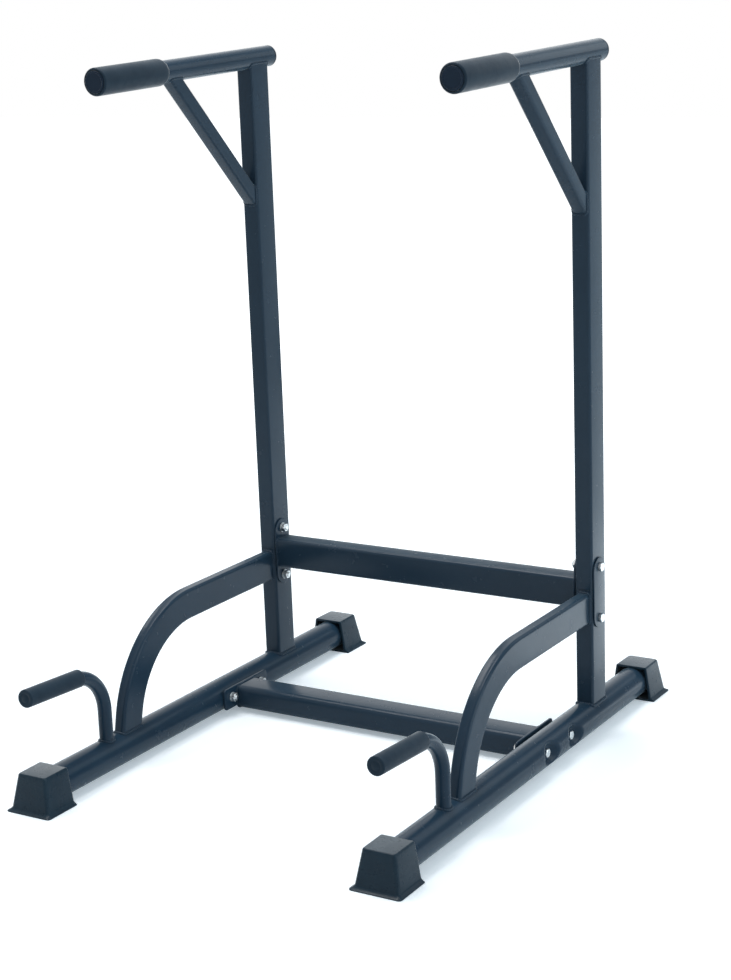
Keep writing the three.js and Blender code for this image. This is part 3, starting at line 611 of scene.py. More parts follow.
def loft(rings, closed=False):
    """Points and faces of a skin over equal rings, capped at both ends unless it closes on itself."""
    count = len(rings[0])
    faces = []
    for i in range(len(rings) if closed else len(rings) - 1):
        j = (i + 1) % len(rings)
        for k in range(count):
            m = (k + 1) % count
            faces.append((i * count + k, i * count + m, j * count + m, j * count + k))
    if not closed:
        faces.append(tuple(range(count)))
        faces.append(tuple((len(rings) - 1) * count + k for k in range(count)))
    return np.concatenate(rings), faces


def turned(profile, origin, direction, sides, closed=False):
    """A skin turned about an axis. The profile is (distance from the axis, distance along it)."""
    direction = direction / np.linalg.norm(direction)
    side = np.cross(direction, Y_AXIS if abs(direction[0]) > abs(direction[1]) else X_AXIS)
    side /= np.linalg.norm(side)
    other = np.cross(side, direction)
    rings = []
    for radius, height in profile:
        outline = circle(max(radius, AXIS_RADIUS), sides)
        rings.append(section(outline, origin + height * direction, other, side))
    return loft(rings, closed)


# Lines in the plane of Y and Z. Heading 0 points along +Y, and a right angle points up.
def ahead_of(heading):
    return np.array([0, math.cos(heading), math.sin(heading)])


def inward_of(heading):
    """The direction that lies a right angle to the left of a heading."""
    return np.array([0, -math.sin(heading), math.cos(heading)])


def bent_line(start, heading, first, radius, turn, last, bend_steps, straight_steps):
    """Stations along a straight, a bend to the left and a straight, each as (centre, heading)."""
    place = np.array(start, float)
    line = [(place, heading)]
    for _ in range(straight_steps):
        place = place + first / straight_steps * ahead_of(heading)
        line.append((place, heading))
    for i in range(bend_steps):
        before, after = heading + turn * i / bend_steps, heading + turn * (i + 1) / bend_steps
        rise = math.cos(before) - math.cos(after)
        place = place + radius * np.array([0, math.sin(after) - math.sin(before), rise])
        line.append((place, after))
    for _ in range(straight_steps):
        place = place + last / straight_steps * ahead_of(heading + turn)
        line.append((place, heading + turn))
    return line


BAR_AXIS = ahead_of(BAR_TILT)


def on_plane(points, heading, origin, normal):
    """Points slid along a heading until they lie on a plane."""
    reach = ((origin - points) @ normal) / (heading @ normal)
    return points + reach[:, None] * heading


def on_rod(points, heading, origin, axis, radius):
    """Points slid along a heading until they meet a rod, from the side that they come from."""
    def across(vectors):
        return vectors - np.multiply.outer(vectors @ axis, axis)

    start, move = across(points - origin), across(heading)
    a = move @ move
    b = 2 * start @ move
    c = (start * start).sum(1) - radius ** 2
    reach = (-b - np.sqrt(b * b - 4 * a * c)) / (2 * a)
    return points + reach[:, None] * heading


def on_base(points, heading, x):
    """Points slid along a heading until they meet the base tube at x."""
    return on_rod(points, heading, (x, 0, BASE_HEIGHT), Y_AXIS, BASE_RADIUS)


# Welds
def weld(name, seam, radius):
    """A rippled bead along a closed seam."""
    path = resampled(seam, WELD_PITCH / RIPPLE_STEPS)
    ahead = np.roll(path, -1, 0) - np.roll(path, 1, 0)
    ahead /= np.linalg.norm(ahead, axis=1)[:, None]
    rings = []
    for i, place in enumerate(path):
        side = np.cross(ahead[i], OFF_SEAM)
        side /= np.linalg.norm(side)
        ripple = math.sin(math.pi * ((i % RIPPLE_STEPS) / RIPPLE_STEPS))
        size = radius * (RIPPLE_LOW_SHARE + RIPPLE_RISE_SHARE * ripple)
        rings.append(section(circle(size, WELD_SIDES), place, side, np.cross(side, ahead[i])))
    add_piece(name, *loft(rings, closed=True), COAT, crease=WELD_CREASE)


def resampled(seam, spacing):
    """Evenly spaced points along a closed seam, as many as whole ripples need."""
    path = np.concatenate([seam, seam[:1]])
    lengths = np.concatenate([[0], np.cumsum(np.linalg.norm(np.diff(path, axis=0), axis=1))])
    count = int(round(lengths[-1] / spacing / RIPPLE_STEPS)) * RIPPLE_STEPS
    places = np.linspace(0, lengths[-1], count + 1)[:-1]
    return np.stack([np.interp(places, lengths, path[:, k]) for k in range(3)], -1)


# Side frames
def smooth_min(first, second, width):
    share = np.clip(0.5 + 0.5 * (second - first) / width, 0, 1)
    return second * (1 - share) + first * share - width * share * (1 - share)


def base_stations():
    """Places along a base tube, close together where the dimples are."""
    front, rear = DIMPLE_PLACES
    start, end = FRONT_END + BASE_INSET, REAR_END - BASE_INSET
    return np.concatenate([
        np.linspace(start, front - DIMPLE_ZONE, END_STATIONS)[:-1],
        np.linspace(front - DIMPLE_ZONE, front + DIMPLE_ZONE, DIMPLE_STATIONS),
        np.linspace(front + DIMPLE_ZONE, rear - DIMPLE_ZONE, MIDDLE_STATIONS)[1:-1],
        np.linspace(rear - DIMPLE_ZONE, rear + DIMPLE_ZONE, DIMPLE_STATIONS),
        np.linspace(rear + DIMPLE_ZONE, end, END_STATIONS)[1:],
    ])


def base_tube(side, name):
    """A floor tube whose outer wall is pressed in around each floor bolt."""
    outline = circle(BASE_RADIUS, BASE_SIDES)
    outer_half, up = outline[:, 0] > 0, outline[:, 1]
    slope = (DIMPLE_RIM - DIMPLE_FLOOR) / DIMPLE_DEPTH
    rings = []
    for y in base_stations():
        out = outline[:, 0]
        for place in DIMPLE_PLACES:
            cone = BASE_RADIUS - (DIMPLE_RIM - np.hypot(y - place, up - FLOOR_BOLT_RISE)) / slope
            pressed = -smooth_min(-cone, DIMPLE_DEPTH - BASE_RADIUS, DIMPLE_FLOOR_BLEND)
            out = np.where(outer_half, smooth_min(out, pressed, DIMPLE_RIM_BLEND), out)
        rings.append(np.stack([side * (HALF_SPACING + out), np.full_like(out, y), BASE_HEIGHT + up], -1))
    add_piece(f"fine_{name}_base_tube", *loft(rings), COAT, [f"{name}_base_tube"], BASE_CREASE)


def upright(side, name):
    """The two lengths of an upright, sunk into the base tube below and the dip bar above."""
    x = side * HALF_SPACING
    outline = rounded(UPRIGHT_WIDTH, UPRIGHT_DEPTH, UPRIGHT_CORNER, FINE_CORNER_STEPS)
    bevelled = rounded(UPRIGHT_WIDTH - 2 * UPRIGHT_BEVEL, UPRIGHT_DEPTH - 2 * UPRIGHT_BEVEL,
                       UPRIGHT_CORNER - UPRIGHT_BEVEL, FINE_CORNER_STEPS)

    def level(shape, height):
        return section(shape, (x, UPRIGHT_Y, height), X_AXIS, Y_AXIS)

    lower_end, upper_end = UPRIGHT_SPLIT, UPRIGHT_SPLIT + SEAT
    lower = loft([level(outline, BASE_HEIGHT + UPRIGHT_FOOT_SINK), level(outline, lower_end - UPRIGHT_BEVEL),
                  level(bevelled, lower_end)])
    upper = loft([level(bevelled, upper_end), level(outline, upper_end + UPRIGHT_BEVEL),
                  level(outline, BAR_HEIGHT - UPRIGHT_HEAD_SINK)])
    add_piece(f"fine_{name}_lower_upright", *lower, COAT, [f"{name}_lower_upright"])
    add_piece(f"fine_{name}_upper_upright", *upper, COAT, [f"{name}_upper_upright"])
    middle = level(outline, UPRIGHT_SPLIT)
    head = on_rod(middle, Z_AXIS, (x, UPRIGHT_Y, BAR_HEIGHT), BAR_AXIS, BAR_RADIUS)
    weld(f"{name}_upright_foot_weld", on_base(middle, -Z_AXIS, x), UPRIGHT_FOOT_WELD)
    weld(f"{name}_upright_head_weld", head, UPRIGHT_HEAD_WELD)


def curved_brace(side, name):
    """A flat-sided tube bent through most of a right angle. Its outer wall dips a little in the bend."""
    x = side * HALF_SPACING
    axis = BRACE_TOP - BRACE_DEPTH / 2
    drop = (axis - BASE_HEIGHT - BRACE_RADIUS * (1 - math.cos(BRACE_TURN))) / math.sin(BRACE_TURN)
    start = (x, UPRIGHT_FRONT + BRACE_OVERLAP, axis)
    line = bent_line(start, math.pi, BRACE_RUN + BRACE_OVERLAP, BRACE_RADIUS, BRACE_TURN,
                     drop - BRACE_FOOT_SINK, BRACE_BEND_STEPS, BRACE_STRAIGHT_STEPS)
    outline = rounded(BRACE_WIDTH, BRACE_DEPTH, BRACE_CORNER, FINE_CORNER_STEPS, BRACE_FLAT_SPANS)
    outer_wall = outline[:, 1] < BEND_DIP_BAND - BRACE_DEPTH / 2
    middle_share = np.clip(1 - (outline[:, 0] / BEND_DIP_HALF_WIDTH) ** 2, 0, 1)
    rings = []
    for place, heading in line:
        bend_share = (heading - math.pi) / BRACE_TURN
        dip = BEND_DIP * math.sqrt(math.sin(math.pi * bend_share)) if 0 < bend_share < 1 else 0
        shape = outline.copy()
        shape[:, 1] += np.where(outer_wall, dip * middle_share, 0)
        rings.append(section(shape, place, X_AXIS, inward_of(heading)))
    add_piece(f"fine_{name}_curved_brace", *loft(rings), COAT, [f"{name}_curved_brace"])
    plain = rounded(BRACE_WIDTH, BRACE_DEPTH, BRACE_CORNER)
    weld(f"{name}_brace_top_weld", section(plain, (x, UPRIGHT_FRONT, axis), X_AXIS, Z_AXIS), BRACE_WELD)
    place, heading = line[-BRACE_STRAIGHT_STEPS]
    landing = on_base(section(plain, place, X_AXIS, inward_of(heading)), ahead_of(heading), x)
    weld(f"{name}_brace_foot_weld", landing, BRACE_WELD)


def diagonal(side, name):
    """The small square brace at 45 degrees under the dip bar, welded at both ends."""
    x = side * HALF_SPACING
    ahead, inward = (Z_AXIS - Y_AXIS) * math.sqrt(0.5), (Z_AXIS + Y_AXIS) * math.sqrt(0.5)
    foot_centre = np.array([x, UPRIGHT_FRONT, BAR_HEIGHT - DIAGONAL_DROP])
    outline = rounded(DIAGONAL_SIZE, DIAGONAL_SIZE, DIAGONAL_CORNER)
    square = section(outline, foot_centre, X_AXIS, inward)

    def under_bar(radius):
        return on_rod(square, ahead, (x, UPRIGHT_Y, BAR_HEIGHT), BAR_AXIS, radius)

    foot_end = on_plane(square, ahead, foot_centre + DIAGONAL_FOOT_SINK * Y_AXIS, Y_AXIS)
    brace = loft([foot_end, under_bar(BAR_RADIUS - DIAGONAL_HEAD_SINK)])
    add_piece(f"fine_{name}_diagonal_brace", *brace, COAT, [f"{name}_diagonal_brace"])
    weld(f"{name}_diagonal_foot_weld", on_plane(square, ahead, foot_centre, Y_AXIS), DIAGONAL_FOOT_WELD)
    weld(f"{name}_diagonal_head_weld", under_bar(BAR_RADIUS), DIAGONAL_HEAD_WELD)


def dip_bar(side, name):
    """The round bar with its front sleeve, front cap and rear cap."""
    origin = np.array([side * HALF_SPACING, UPRIGHT_Y, BAR_HEIGHT])
    front, rear = CAP_HEAD + SEAT - BAR_REACH, BAR_TAIL - REAR_CAP_HEAD - SEAT
    bevelled = BAR_RADIUS - BAR_BEVEL
    profile = [(0, front), (bevelled, front), (BAR_RADIUS, front + BAR_BEVEL),
               (BAR_RADIUS, (front + rear) / 2), (BAR_RADIUS, rear - BAR_BEVEL), (bevelled, rear), (0, rear)]
    bar = turned(profile, origin, BAR_AXIS, BAR_SIDES)
    add_piece(f"fine_{name}_dip_bar", *bar, COAT, [f"{name}_dip_bar"])
    grip = turned(dip_grip_profile(), origin, BAR_AXIS, BAR_SIDES, closed=True)
    add_piece(f"fine_{name}_dip_grip", *grip, GRIP, [f"{name}_dip_grip"])
    front_cap = turned(front_cap_profile(), origin, BAR_AXIS, CAP_SIDES)
    add_piece(f"fine_{name}_dip_end_cap", *front_cap, CAP, [f"{name}_dip_end_cap"])
    rear_cap = turned(rear_cap_profile(), origin, BAR_AXIS, CAP_SIDES)
    add_piece(f"fine_{name}_rear_cap", *rear_cap, CAP, [f"{name}_rear_cap"])


def dip_grip_profile():
    """A sleeve over the bar: rounded at the front, and tapered to a thin lip at the rear."""
    start = CAP_EDGE - BAR_REACH
    end = start + DIP_GRIP_LENGTH
    bore, radius = BAR_RADIUS + SEAT, DIP_GRIP_ROUNDING
    profile = [(bore + out, start + back) for out, back in DIP_GRIP_MOUTH]
    profile += arc((DIP_GRIP_RADIUS - radius, start + radius), radius, -90, 0, DIP_GRIP_ROUNDING_STEPS)
    profile += [(DIP_GRIP_RADIUS, start + along) for along in DIP_GRIP_RINGS]
    profile += [(DIP_GRIP_RADIUS - depth, end - back) for depth, back in DIP_GRIP_TAPER]
    return profile + [(bore + out, end - back) for out, back in DIP_GRIP_LIP]


def front_cap_profile():
    """The head of the cap in the bar's front end, with a shallow round recess."""
    face, radius = -BAR_REACH, BAR_RADIUS - CAP_INSET
    profile = [(out, face + depth) for out, depth in CAP_FACE]
    profile += arc((radius - CAP_EDGE, face + CAP_EDGE), CAP_EDGE, -90, 0, CAP_EDGE_STEPS)
    return profile + [(radius, face + CAP_HEAD), (0, face + CAP_HEAD)]


def rear_cap_profile():
    """The domed head of the cap in the bar's rear end."""
    seat = BAR_TAIL - REAR_CAP_HEAD
    profile = [(0, seat), (BAR_RADIUS, seat), (BAR_RADIUS, seat + REAR_CAP_RIM)]
    profile += arc((BAR_RADIUS - CAP_EDGE, seat + REAR_CAP_RIM), CAP_EDGE, 0, REAR_CAP_RIM_DEGREES,
                   REAR_CAP_RIM_STEPS)
    return profile + [(out, seat + height) for out, height in REAR_CAP_DOME]


def push_up_handle(side, name):
    """A bent round tube on the base tube, with a closed-end grip on its level part."""
    x = side * HALF_SPACING
    outline = circle(HANDLE_RADIUS, HANDLE_SIDES)
    sunk_height = BASE_HEIGHT + HANDLE_FOOT_SINK
    line = bent_line((x, HANDLE_Y, sunk_height), math.pi / 2, HANDLE_LEG_TOP - sunk_height, HANDLE_BEND,
                     math.pi / 2 - HANDLE_RISE, HANDLE_STRAIGHT, HANDLE_BEND_STEPS, HANDLE_STRAIGHT_STEPS)
    rings = [section(outline, place, X_AXIS, inward_of(heading)) for place, heading in line]
    add_piece(f"fine_{name}_push_up_handle", *loft(rings), COAT, [f"{name}_push_up_handle"])
    leg_top = section(outline, (x, HANDLE_Y, HANDLE_LEG_TOP), X_AXIS, Y_AXIS)
    weld(f"{name}_handle_weld", on_base(leg_top, -Z_AXIS, x), HANDLE_WELD)
    tip, heading = line[-1]
    mouth = tip + ahead_of(heading) * (PUSH_GRIP_END + SEAT - PUSH_GRIP_LENGTH)
    grip = turned(push_up_grip_profile(), mouth, ahead_of(heading), PUSH_GRIP_SIDES)
    add_piece(f"fine_{name}_push_up_grip", *grip, GRIP, [f"{name}_push_up_grip"])


def push_up_grip_profile():
    """A slip-on grip from its mouth to its closed end, which has a moulded groove."""
    bore, end = HANDLE_RADIUS + SEAT, PUSH_GRIP_LENGTH
    near, far = PUSH_GRIP_MOUTH_ROUNDING, PUSH_GRIP_END_ROUNDING
    profile = [(0, end - PUSH_GRIP_END), (bore, end - PUSH_GRIP_END)]
    profile += [(bore + out, back) for out, back in PUSH_GRIP_MOUTH]
    profile += arc((PUSH_GRIP_RADIUS - near, near), near, -90, 0, PUSH_GRIP_MOUTH_STEPS)
    profile += [(PUSH_GRIP_RADIUS, along) for along in PUSH_GRIP_RINGS]
    profile += arc((PUSH_GRIP_RADIUS - far, end - far), far, 0, 90, PUSH_GRIP_END_STEPS)
    return profile + [(out, end - depth) for out, depth in PUSH_GRIP_GROOVE]


# Crossbars, plates and fasteners
def crossbar(node, half_length, y, z, outline):
    rings = [section(outline, (x, y, z), Y_AXIS, Z_AXIS) for x in (-half_length, 0, half_length)]
    add_piece(f"fine_{node}", *loft(rings), COAT, [node])


def plate(node, outline, x, thickness, y, z, edge):
    """A plate in the plane of Y and Z, with edges rounded by the given radius."""
    size = outline.max(0) - outline.min(0)
    rings = []
    for centre, start, end in ((x - thickness / 2 + edge, 180, 90), (x + thickness / 2 - edge, 90, 0)):
        for angle in np.radians(np.linspace(start, end, EDGE_STEPS + 1)):
            shape = outline * ((size - 2 * edge * (1 - math.sin(angle))) / size)
            rings.append(section(shape, (centre + edge * math.cos(angle), y, z), Y_AXIS, Z_AXIS))
    add_piece(f"fine_{node}", *loft(rings), COAT, [node])


def hex_solid(origin, direction, height, bore=None):
    """A hexagonal head or nut whose far edge is chamfered round, as points and faces."""
    angles = np.linspace(0, 2 * math.pi, HEX_POINTS, endpoint=False)
    flat = HEX_FLATS / 2
    hexagon = flat / np.cos((angles % (math.pi / 3)) - math.pi / 6)
    corner = hexagon.max()
    seat = np.minimum(hexagon, flat - HEX_SEAT_INSET)
    levels = [(0, seat), (HEX_SEAT_HEIGHT, seat), (HEX_SEAT_HEIGHT, hexagon)]
    for share in np.linspace(0, 1, HEX_CHAMFER_STEPS + 1):
        limit = corner - share * (corner - flat + HEX_CHAMFER_INSET)
        levels.append((height - HEX_CHAMFER * (1 - share), np.minimum(hexagon, limit)))

    def ring(shape, level):
        return section(shape, origin + level * direction, Y_AXIS, Z_AXIS)

    rings = []
    for level, radii in levels:
        rings.append(ring(np.stack([radii * np.cos(angles), radii * np.sin(angles)], -1), level))
    if bore is None:
        return loft(rings + [ring(circle(HEAD_CENTRE, HEX_POINTS), height)])
    wall = circle(bore, HEX_POINTS)
    rings += [ring(circle(bore + NUT_BORE_BEVEL, HEX_POINTS), height), ring(wall, height - NUT_BORE_BEVEL),
              ring(wall, 0)]
    return loft(rings, closed=True)


def bolt_set(side, name, y, z, head_seat, nut_seat):
    """A bolt with its head outward, and its washer and nut on the inside. Seats count outward."""
    out = side * X_AXIS
    middle = np.array([side * HALF_SPACING, y, z])
    head = head_seat + SEAT
    washer_end = nut_seat - SEAT
    washer_start = washer_end - WASHER_THICK
    nut_face = washer_start - SEAT
    bolt = hex_solid(middle + head * out, out, HEAD_HEIGHT)
    add_piece(f"fine_{name}_bolt", *bolt, ZINC, [f"{name}_bolt"], ZINC_CREASE)
    shank = turned(shank_profile(nut_face - NUT_HEIGHT - BOLT_TAIL, head), middle, out, BOLT_SIDES)
    add_piece(f"fine_{name}_shank", *shank, ZINC)
    bore, bevelled = BOLT_RADIUS + SEAT, WASHER_RADIUS - WASHER_BEVEL
    profile = [(bore, washer_start), (bevelled, washer_start), (WASHER_RADIUS, washer_start + WASHER_BEVEL),
               (WASHER_RADIUS, washer_end - WASHER_BEVEL), (bevelled, washer_end), (bore, washer_end)]
    washer = turned(profile, middle, out, WASHER_SIDES, closed=True)
    add_piece(f"fine_{name}_washer", *washer, ZINC, [f"{name}_washer"])
    nut = hex_solid(middle + nut_face * out, -out, NUT_HEIGHT, BOLT_RADIUS)
    add_piece(f"fine_{name}_nut", *nut, ZINC, [f"{name}_nut"], ZINC_CREASE)


def shank_profile(tail, head):
    """A bolt's shank from its tip to just inside its head, with threads where they show past the nut."""
    plain = BOLT_RADIUS - SHANK_INSET
    profile = [(0, tail), (BOLT_RADIUS - BOLT_TIP_BEVEL, tail)]
    for turn in range(THREAD_TURNS):
        start = tail + turn * THREAD_PITCH
        profile += [(BOLT_RADIUS - depth, start + along) for depth, along in THREAD_PROFILE]
    return profile + [(plain, tail + THREAD_END), (plain, head + HEAD_OVERLAP), (0, head + HEAD_OVERLAP)]


def upper_joint(side, name):
    """The upper crossbar's plates, bolts and weld at an upright. Only the right one has a plate outside."""
    outline = rounded(SIDE_PLATE_WIDTH, SIDE_PLATE_TALL, SIDE_PLATE_WIDTH / 2 - SIDE_PLATE_END_FLAT,
                      SIDE_PLATE_STEPS)
    plates = {"backing_plate": 1, "crossbar_plate": -1} if side > 0 else {"crossbar_plate": -1}
    for label, outward in plates.items():
        x = side * (HALF_SPACING + outward * (UPPER_FACE - SIDE_PLATE_THICK / 2))
        plate(f"{name}_{label}", outline, x, SIDE_PLATE_THICK, UPPER_BAR_Y, UPPER_BAR_HEIGHT,
              SIDE_PLATE_EDGE)
    head_seat = UPPER_FACE if side > 0 else UPRIGHT_WIDTH / 2
    for label, height in zip(("lower", "upper"), UPPER_BOLTS):
        bolt_set(side, f"{name}_{label}_joint", UPPER_BAR_Y, height, head_seat, -UPPER_FACE)
    seam = section(rounded(UPPER_BAR_DEPTH, UPPER_BAR_TALL, UPPER_BAR_CORNER),
                   (side * (HALF_SPACING - UPPER_FACE), UPPER_BAR_Y, UPPER_BAR_HEIGHT), Y_AXIS, Z_AXIS)
    weld(f"{name}_upper_crossbar_weld", seam, CROSSBAR_WELD)


def floor_joint(side, name):
    """The lower crossbar's plate, bolts and weld at a base tube."""
    outline = rounded(FLOOR_PLATE_LENGTH, FLOOR_PLATE_TALL, FLOOR_PLATE_CORNER)
    x = side * (HALF_SPACING - LOWER_FACE + FLOOR_PLATE_THICK / 2)
    plate(f"{name}_floor_plate", outline, x, FLOOR_PLATE_THICK, LOWER_BAR_Y, BASE_HEIGHT, FLOOR_PLATE_EDGE)
    for label, place in zip(("front", "rear"), DIMPLE_PLACES):
        bolt_set(side, f"{name}_{label}_floor", place, BASE_HEIGHT + FLOOR_BOLT_RISE,
                 BASE_RADIUS - DIMPLE_DEPTH, -LOWER_FACE)
    seam = section(rounded(LOWER_BAR_DEPTH, LOWER_BAR_TALL, LOWER_BAR_CORNER),
                   (side * (HALF_SPACING - LOWER_FACE), LOWER_BAR_Y, LOWER_BAR_HEIGHT), Y_AXIS, Z_AXIS)
    weld(f"{name}_lower_crossbar_weld", seam, CROSSBAR_WELD)


# Feet
def foot_outline(height, spread, mouth):
    """A level of a foot with rounded corners: its closed end is near 0 and its mouth at the given place."""
    share = height / FOOT_HEIGHT
    mouth_half = FOOT_FLOOR_HALF + (FOOT_TOP_HALF - FOOT_FLOOR_HALF) * share + spread
    end_half = FOOT_FLOOR_HALF + (FOOT_TOP_HALF - FOOT_END_TAPER - FOOT_FLOOR_HALF) * share + spread
    end = -(FOOT_LIP + (FOOT_LENGTH - FOOT_TOP_LENGTH - FOOT_LIP) * share) + spread
    corners = np.array([(mouth_half, mouth), (end_half, end), (-end_half, end), (-mouth_half, mouth)])
    radii = (FOOT_MOUTH_CORNER, FOOT_CORNER, FOOT_CORNER, FOOT_MOUTH_CORNER)
    outline = []
    for i, (corner, radius) in enumerate(zip(corners, radii)):
        back, on = corners[i - 1] - corner, corners[(i + 1) % len(corners)] - corner
        first = corner + back / np.linalg.norm(back) * radius
        last = corner + on / np.linalg.norm(on) * radius
        for t in np.linspace(0, 1, FOOT_CORNER_STEPS + 1):
            outline.append((1 - t) ** 2 * first + 2 * t * (1 - t) * corner + t * t * last)
    return np.array(outline)


def foot(name, x, end_y, facing):
    """A rubber shoe over the tube's end: flared lip, sloping walls, open towards the tube."""
    def level(height, spread=0.0, mouth=-FOOT_LENGTH):
        return section(foot_outline(height, spread, mouth) * facing, (x, end_y, height), X_AXIS, Y_AXIS)

    rings = [level(0, FOOT_LIP - FOOT_LIP_BEVEL), level(FOOT_LIP_BEVEL, FOOT_LIP),
             level(FOOT_LIP_EDGE, FOOT_LIP)]
    for share in np.linspace(0, 1, FOOT_LIP_STEPS + 1)[1:]:
        height = FOOT_LIP_EDGE + share * (FOOT_LIP_HEIGHT - FOOT_LIP_EDGE)
        rings.append(level(height, FOOT_LIP * (1 - share) ** FOOT_LIP_CURVE))
    rings += [level(height) for height in FOOT_LEVELS]
    for angle in np.radians(np.linspace(0, 90, FOOT_ROUNDING_STEPS + 1)):
        inset = 1 - math.cos(angle)
        height = FOOT_HEIGHT - FOOT_TOP_ROUNDING * (1 - math.sin(angle))
        rings.append(level(height, -FOOT_TOP_ROUNDING * inset, FOOT_MOUTH_ROUNDING * inset - FOOT_LENGTH))
    shell = add_piece(f"fine_{name}", *loft(rings), FOOT, [name], FOOT_CREASE)
    far = -FOOT_LENGTH - OVERRUN
    cut(shell, *loft([level(FOOT_SOLE, -FOOT_WALL, far), level(FOOT_HEIGHT - FOOT_ROOF, -FOOT_WALL, far)]))
    bore = circle(BASE_RADIUS + SEAT, FOOT_BORE_SIDES)
    cut(shell, *loft([section(bore, (x, end_y + facing * place, BASE_HEIGHT), X_AXIS, Z_AXIS)
                      for place in (-FOOT_BORE_STOP, far)]))
    finish_mesh(shell, FOOT_CREASE)


# Stage, light and camera
def empty_material(name):
    """A material without nodes, and the means to add them."""
    material = bpy.data.materials.new(name)
    material.use_nodes = True
    material.node_tree.nodes.clear()
    return material, Nodes(material.node_tree)


def add_quad(name, corners, material):
    mesh = bpy.data.meshes.new(name)
    mesh.from_pydata(corners, [], [(0, 1, 2, 3)])
    mesh.materials.append(material)
    quad = bpy.data.objects.new(name, mesh)
    bpy.context.scene.collection.objects.link(quad)
    return quad


def floor_glow(nodes, place):
    """The glow's colour: seen, it fades to white. Mirrored, it is a painted reflection, with painted shade
    under the object and in a patch beside it.
    """
    distance = nodes.add("ShaderNodeVectorMath", {0: place}, operation="LENGTH").outputs["Value"]
    fade = remap(nodes, distance, GLOW_FADE)
    seen = blend(nodes, fade, GLOW_SEEN, WHITE)
    mirrored = blend(nodes, remap(nodes, distance, MIRRORED_AROUND_EDGE), MIRRORED_UNDER, MIRRORED_AROUND)
    mirrored = blend(nodes, fade, mirrored, MIRRORED_BEYOND)
    aside = nodes.add("ShaderNodeVectorMath", {0: place, 1: DARK_PATCH_PLACE}, operation="DISTANCE")
    patch = remap(nodes, aside.outputs["Value"], DARK_PATCH_EDGE, (1.0, 0.0))
    mirrored = blend(nodes, patch, mirrored, MIRRORED_UNDER)
    mirrored = blend(nodes, remap(nodes, distance, HORIZON_EDGE), mirrored, MIRRORED_HORIZON)
    return blend(nodes, nodes.add("ShaderNodeLightPath").outputs["Is Glossy Ray"], seen, mirrored)


def add_floor():
    """A white floor that keeps a pale blue shadow."""
    material, nodes = empty_material("floor")
    place = nodes.add("ShaderNodeTexCoord").outputs["Object"]
    grain = patches(nodes, place, scale=40.0, detail=4.0, within=(0.3, 0.7))
    diffuse = nodes.add("ShaderNodeBsdfDiffuse", {"Color": blend(nodes, grain, FLOOR_DARK, FLOOR_LIGHT)})
    glow = nodes.add("ShaderNodeEmission", {"Color": floor_glow(nodes, place),
                                            "Strength": by_ray(nodes, 1.0, 1.0, 0.0)})
    both = nodes.add("ShaderNodeAddShader", {0: diffuse.outputs[0], 1: glow.outputs[0]})
    nodes.add("ShaderNodeOutputMaterial", {"Surface": both.outputs[0]})
    half = FLOOR_HALF
    corners = [(-half, -half, 0), (half, -half, 0), (half, half, 0), (-half, half, 0)]
    floor = add_quad("floor", corners, material)


def add_card():
    """A dark card behind the object. Only reflections meet it. It keeps the upper crossbar's top dark."""
    material, nodes = empty_material("card")
    glow = nodes.add("ShaderNodeEmission", {"Color": CARD_GLOW})
    nodes.add("ShaderNodeOutputMaterial", {"Surface": glow.outputs[0]})
    (left_low, left_high), (right_low, right_high) = CARD_LEFT_HEIGHTS, CARD_RIGHT_HEIGHTS
    card = add_quad("card", [(*CARD_LEFT, left_low), (*CARD_RIGHT, right_low), (*CARD_RIGHT, right_high),
                             (*CARD_LEFT, left_high)], material)
    for ray in ("camera", "diffuse", "transmission", "volume_scatter", "shadow"):
        setattr(card, f"visible_{ray}", False)


def add_world():
    """White where it is seen. Reflections find it dark behind the object's right and lit behind its left."""
    world = bpy.data.worlds.new("studio")
    bpy.context.scene.world = world
    world.use_nodes = True
    nodes = Nodes(world.node_tree)
    heading = nodes.add("ShaderNodeTexCoord").outputs["Generated"]

    def towards(direction, edge, strengths):
        facing = nodes.add("ShaderNodeVectorMath", {0: heading, 1: direction}, operation="DOT_PRODUCT")
        return remap(nodes, facing.outputs["Value"], edge, strengths)

    dark_side = towards(DARK_SIDE, DARK_SIDE_EDGE, (1.0, DARK_SIDE_STRENGTH))
    lit_corner = towards(LIT_CORNER, LIT_CORNER_EDGE, (0.0, LIT_CORNER_GAIN))
    studio = nodes.add("ShaderNodeMath", {0: dark_side, 1: lit_corner}, operation="ADD").outputs[0]
    nodes.fill(world.node_tree.nodes["Background"], {
        "Color": blend(nodes, by_ray(nodes, 1.0, 1.0, 0.0), STUDIO_TINT, WHITE),
        "Strength": by_ray(nodes, 1.0, studio, STUDIO_LIGHT),
    })


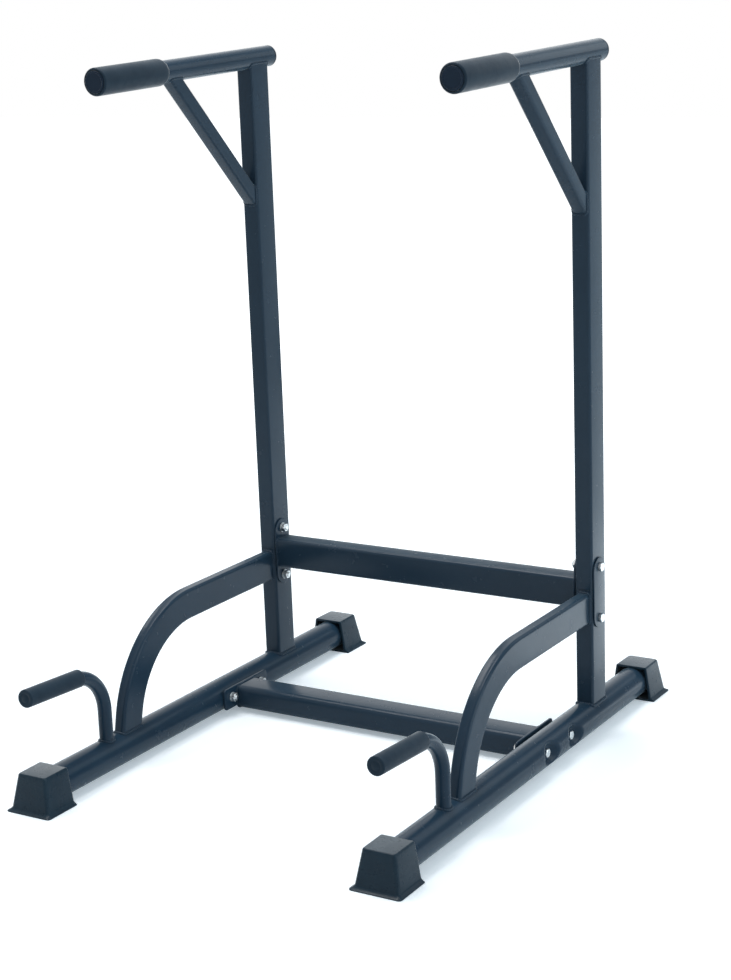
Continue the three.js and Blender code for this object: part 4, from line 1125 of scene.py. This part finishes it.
def add_camera():
    yaw, pitch, roll = CAMERA_YAW, CAMERA_PITCH, CAMERA_ROLL
    forward = Vector((-math.sin(yaw) * math.cos(pitch), math.cos(yaw) * math.cos(pitch), -math.sin(pitch)))
    level = Vector((math.cos(yaw), math.sin(yaw), 0))
    upward = level.cross(forward)
    right = level * math.cos(roll) + upward * math.sin(roll)
    up = upward * math.cos(roll) - level * math.sin(roll)
    data = bpy.data.cameras.new("camera")
    data.sensor_fit = "VERTICAL"
    data.sensor_height = CAMERA_SENSOR_HEIGHT
    data.lens = CAMERA_LENS
    camera = bpy.data.objects.new("camera", data)
    turn = Matrix((right, up, -forward)).transposed().to_4x4()
    camera.matrix_world = Matrix.Translation(CAMERA_PLACE) @ turn
    bpy.context.scene.collection.objects.link(camera)
    bpy.context.scene.camera = camera


def add_lamp(name, place, target, size, power, colour):
    data = bpy.data.lights.new(name, "AREA")
    data.shape = "RECTANGLE"
    data.size, data.size_y = size
    data.energy = power
    data.color = colour
    lamp = bpy.data.objects.new(name, data)
    lamp.location = place
    aim = Vector(target) - Vector(place)
    lamp.rotation_euler = aim.to_track_quat("-Z", "Y").to_euler()
    lamp.visible_camera = False
    bpy.context.scene.collection.objects.link(lamp)


add_camera()
add_world()
add_floor()
add_card()
for lamp_values in LAMPS:
    add_lamp(*lamp_values)

for side, name in SIDES:
    base_tube(side, name)
    upright(side, name)
    curved_brace(side, name)
    diagonal(side, name)
    dip_bar(side, name)
    push_up_handle(side, name)
    upper_joint(side, name)
    floor_joint(side, name)
    foot(f"{name}_front_foot", side * HALF_SPACING, FRONT_END, -1)
    foot(f"{name}_rear_foot", side * HALF_SPACING, REAR_END, 1)

crossbar("upper_crossbar", HALF_SPACING - UPPER_FACE + UPPER_BAR_SINK, UPPER_BAR_Y, UPPER_BAR_HEIGHT,
         rounded(UPPER_BAR_DEPTH, UPPER_BAR_TALL, UPPER_BAR_CORNER, FINE_CORNER_STEPS))
crossbar("lower_crossbar", HALF_SPACING - LOWER_FACE + LOWER_BAR_SINK, LOWER_BAR_Y, LOWER_BAR_HEIGHT,
         rounded(LOWER_BAR_DEPTH, LOWER_BAR_TALL, LOWER_BAR_CORNER, FINE_CORNER_STEPS))

bpy.context.scene.view_settings.view_transform = "Standard"
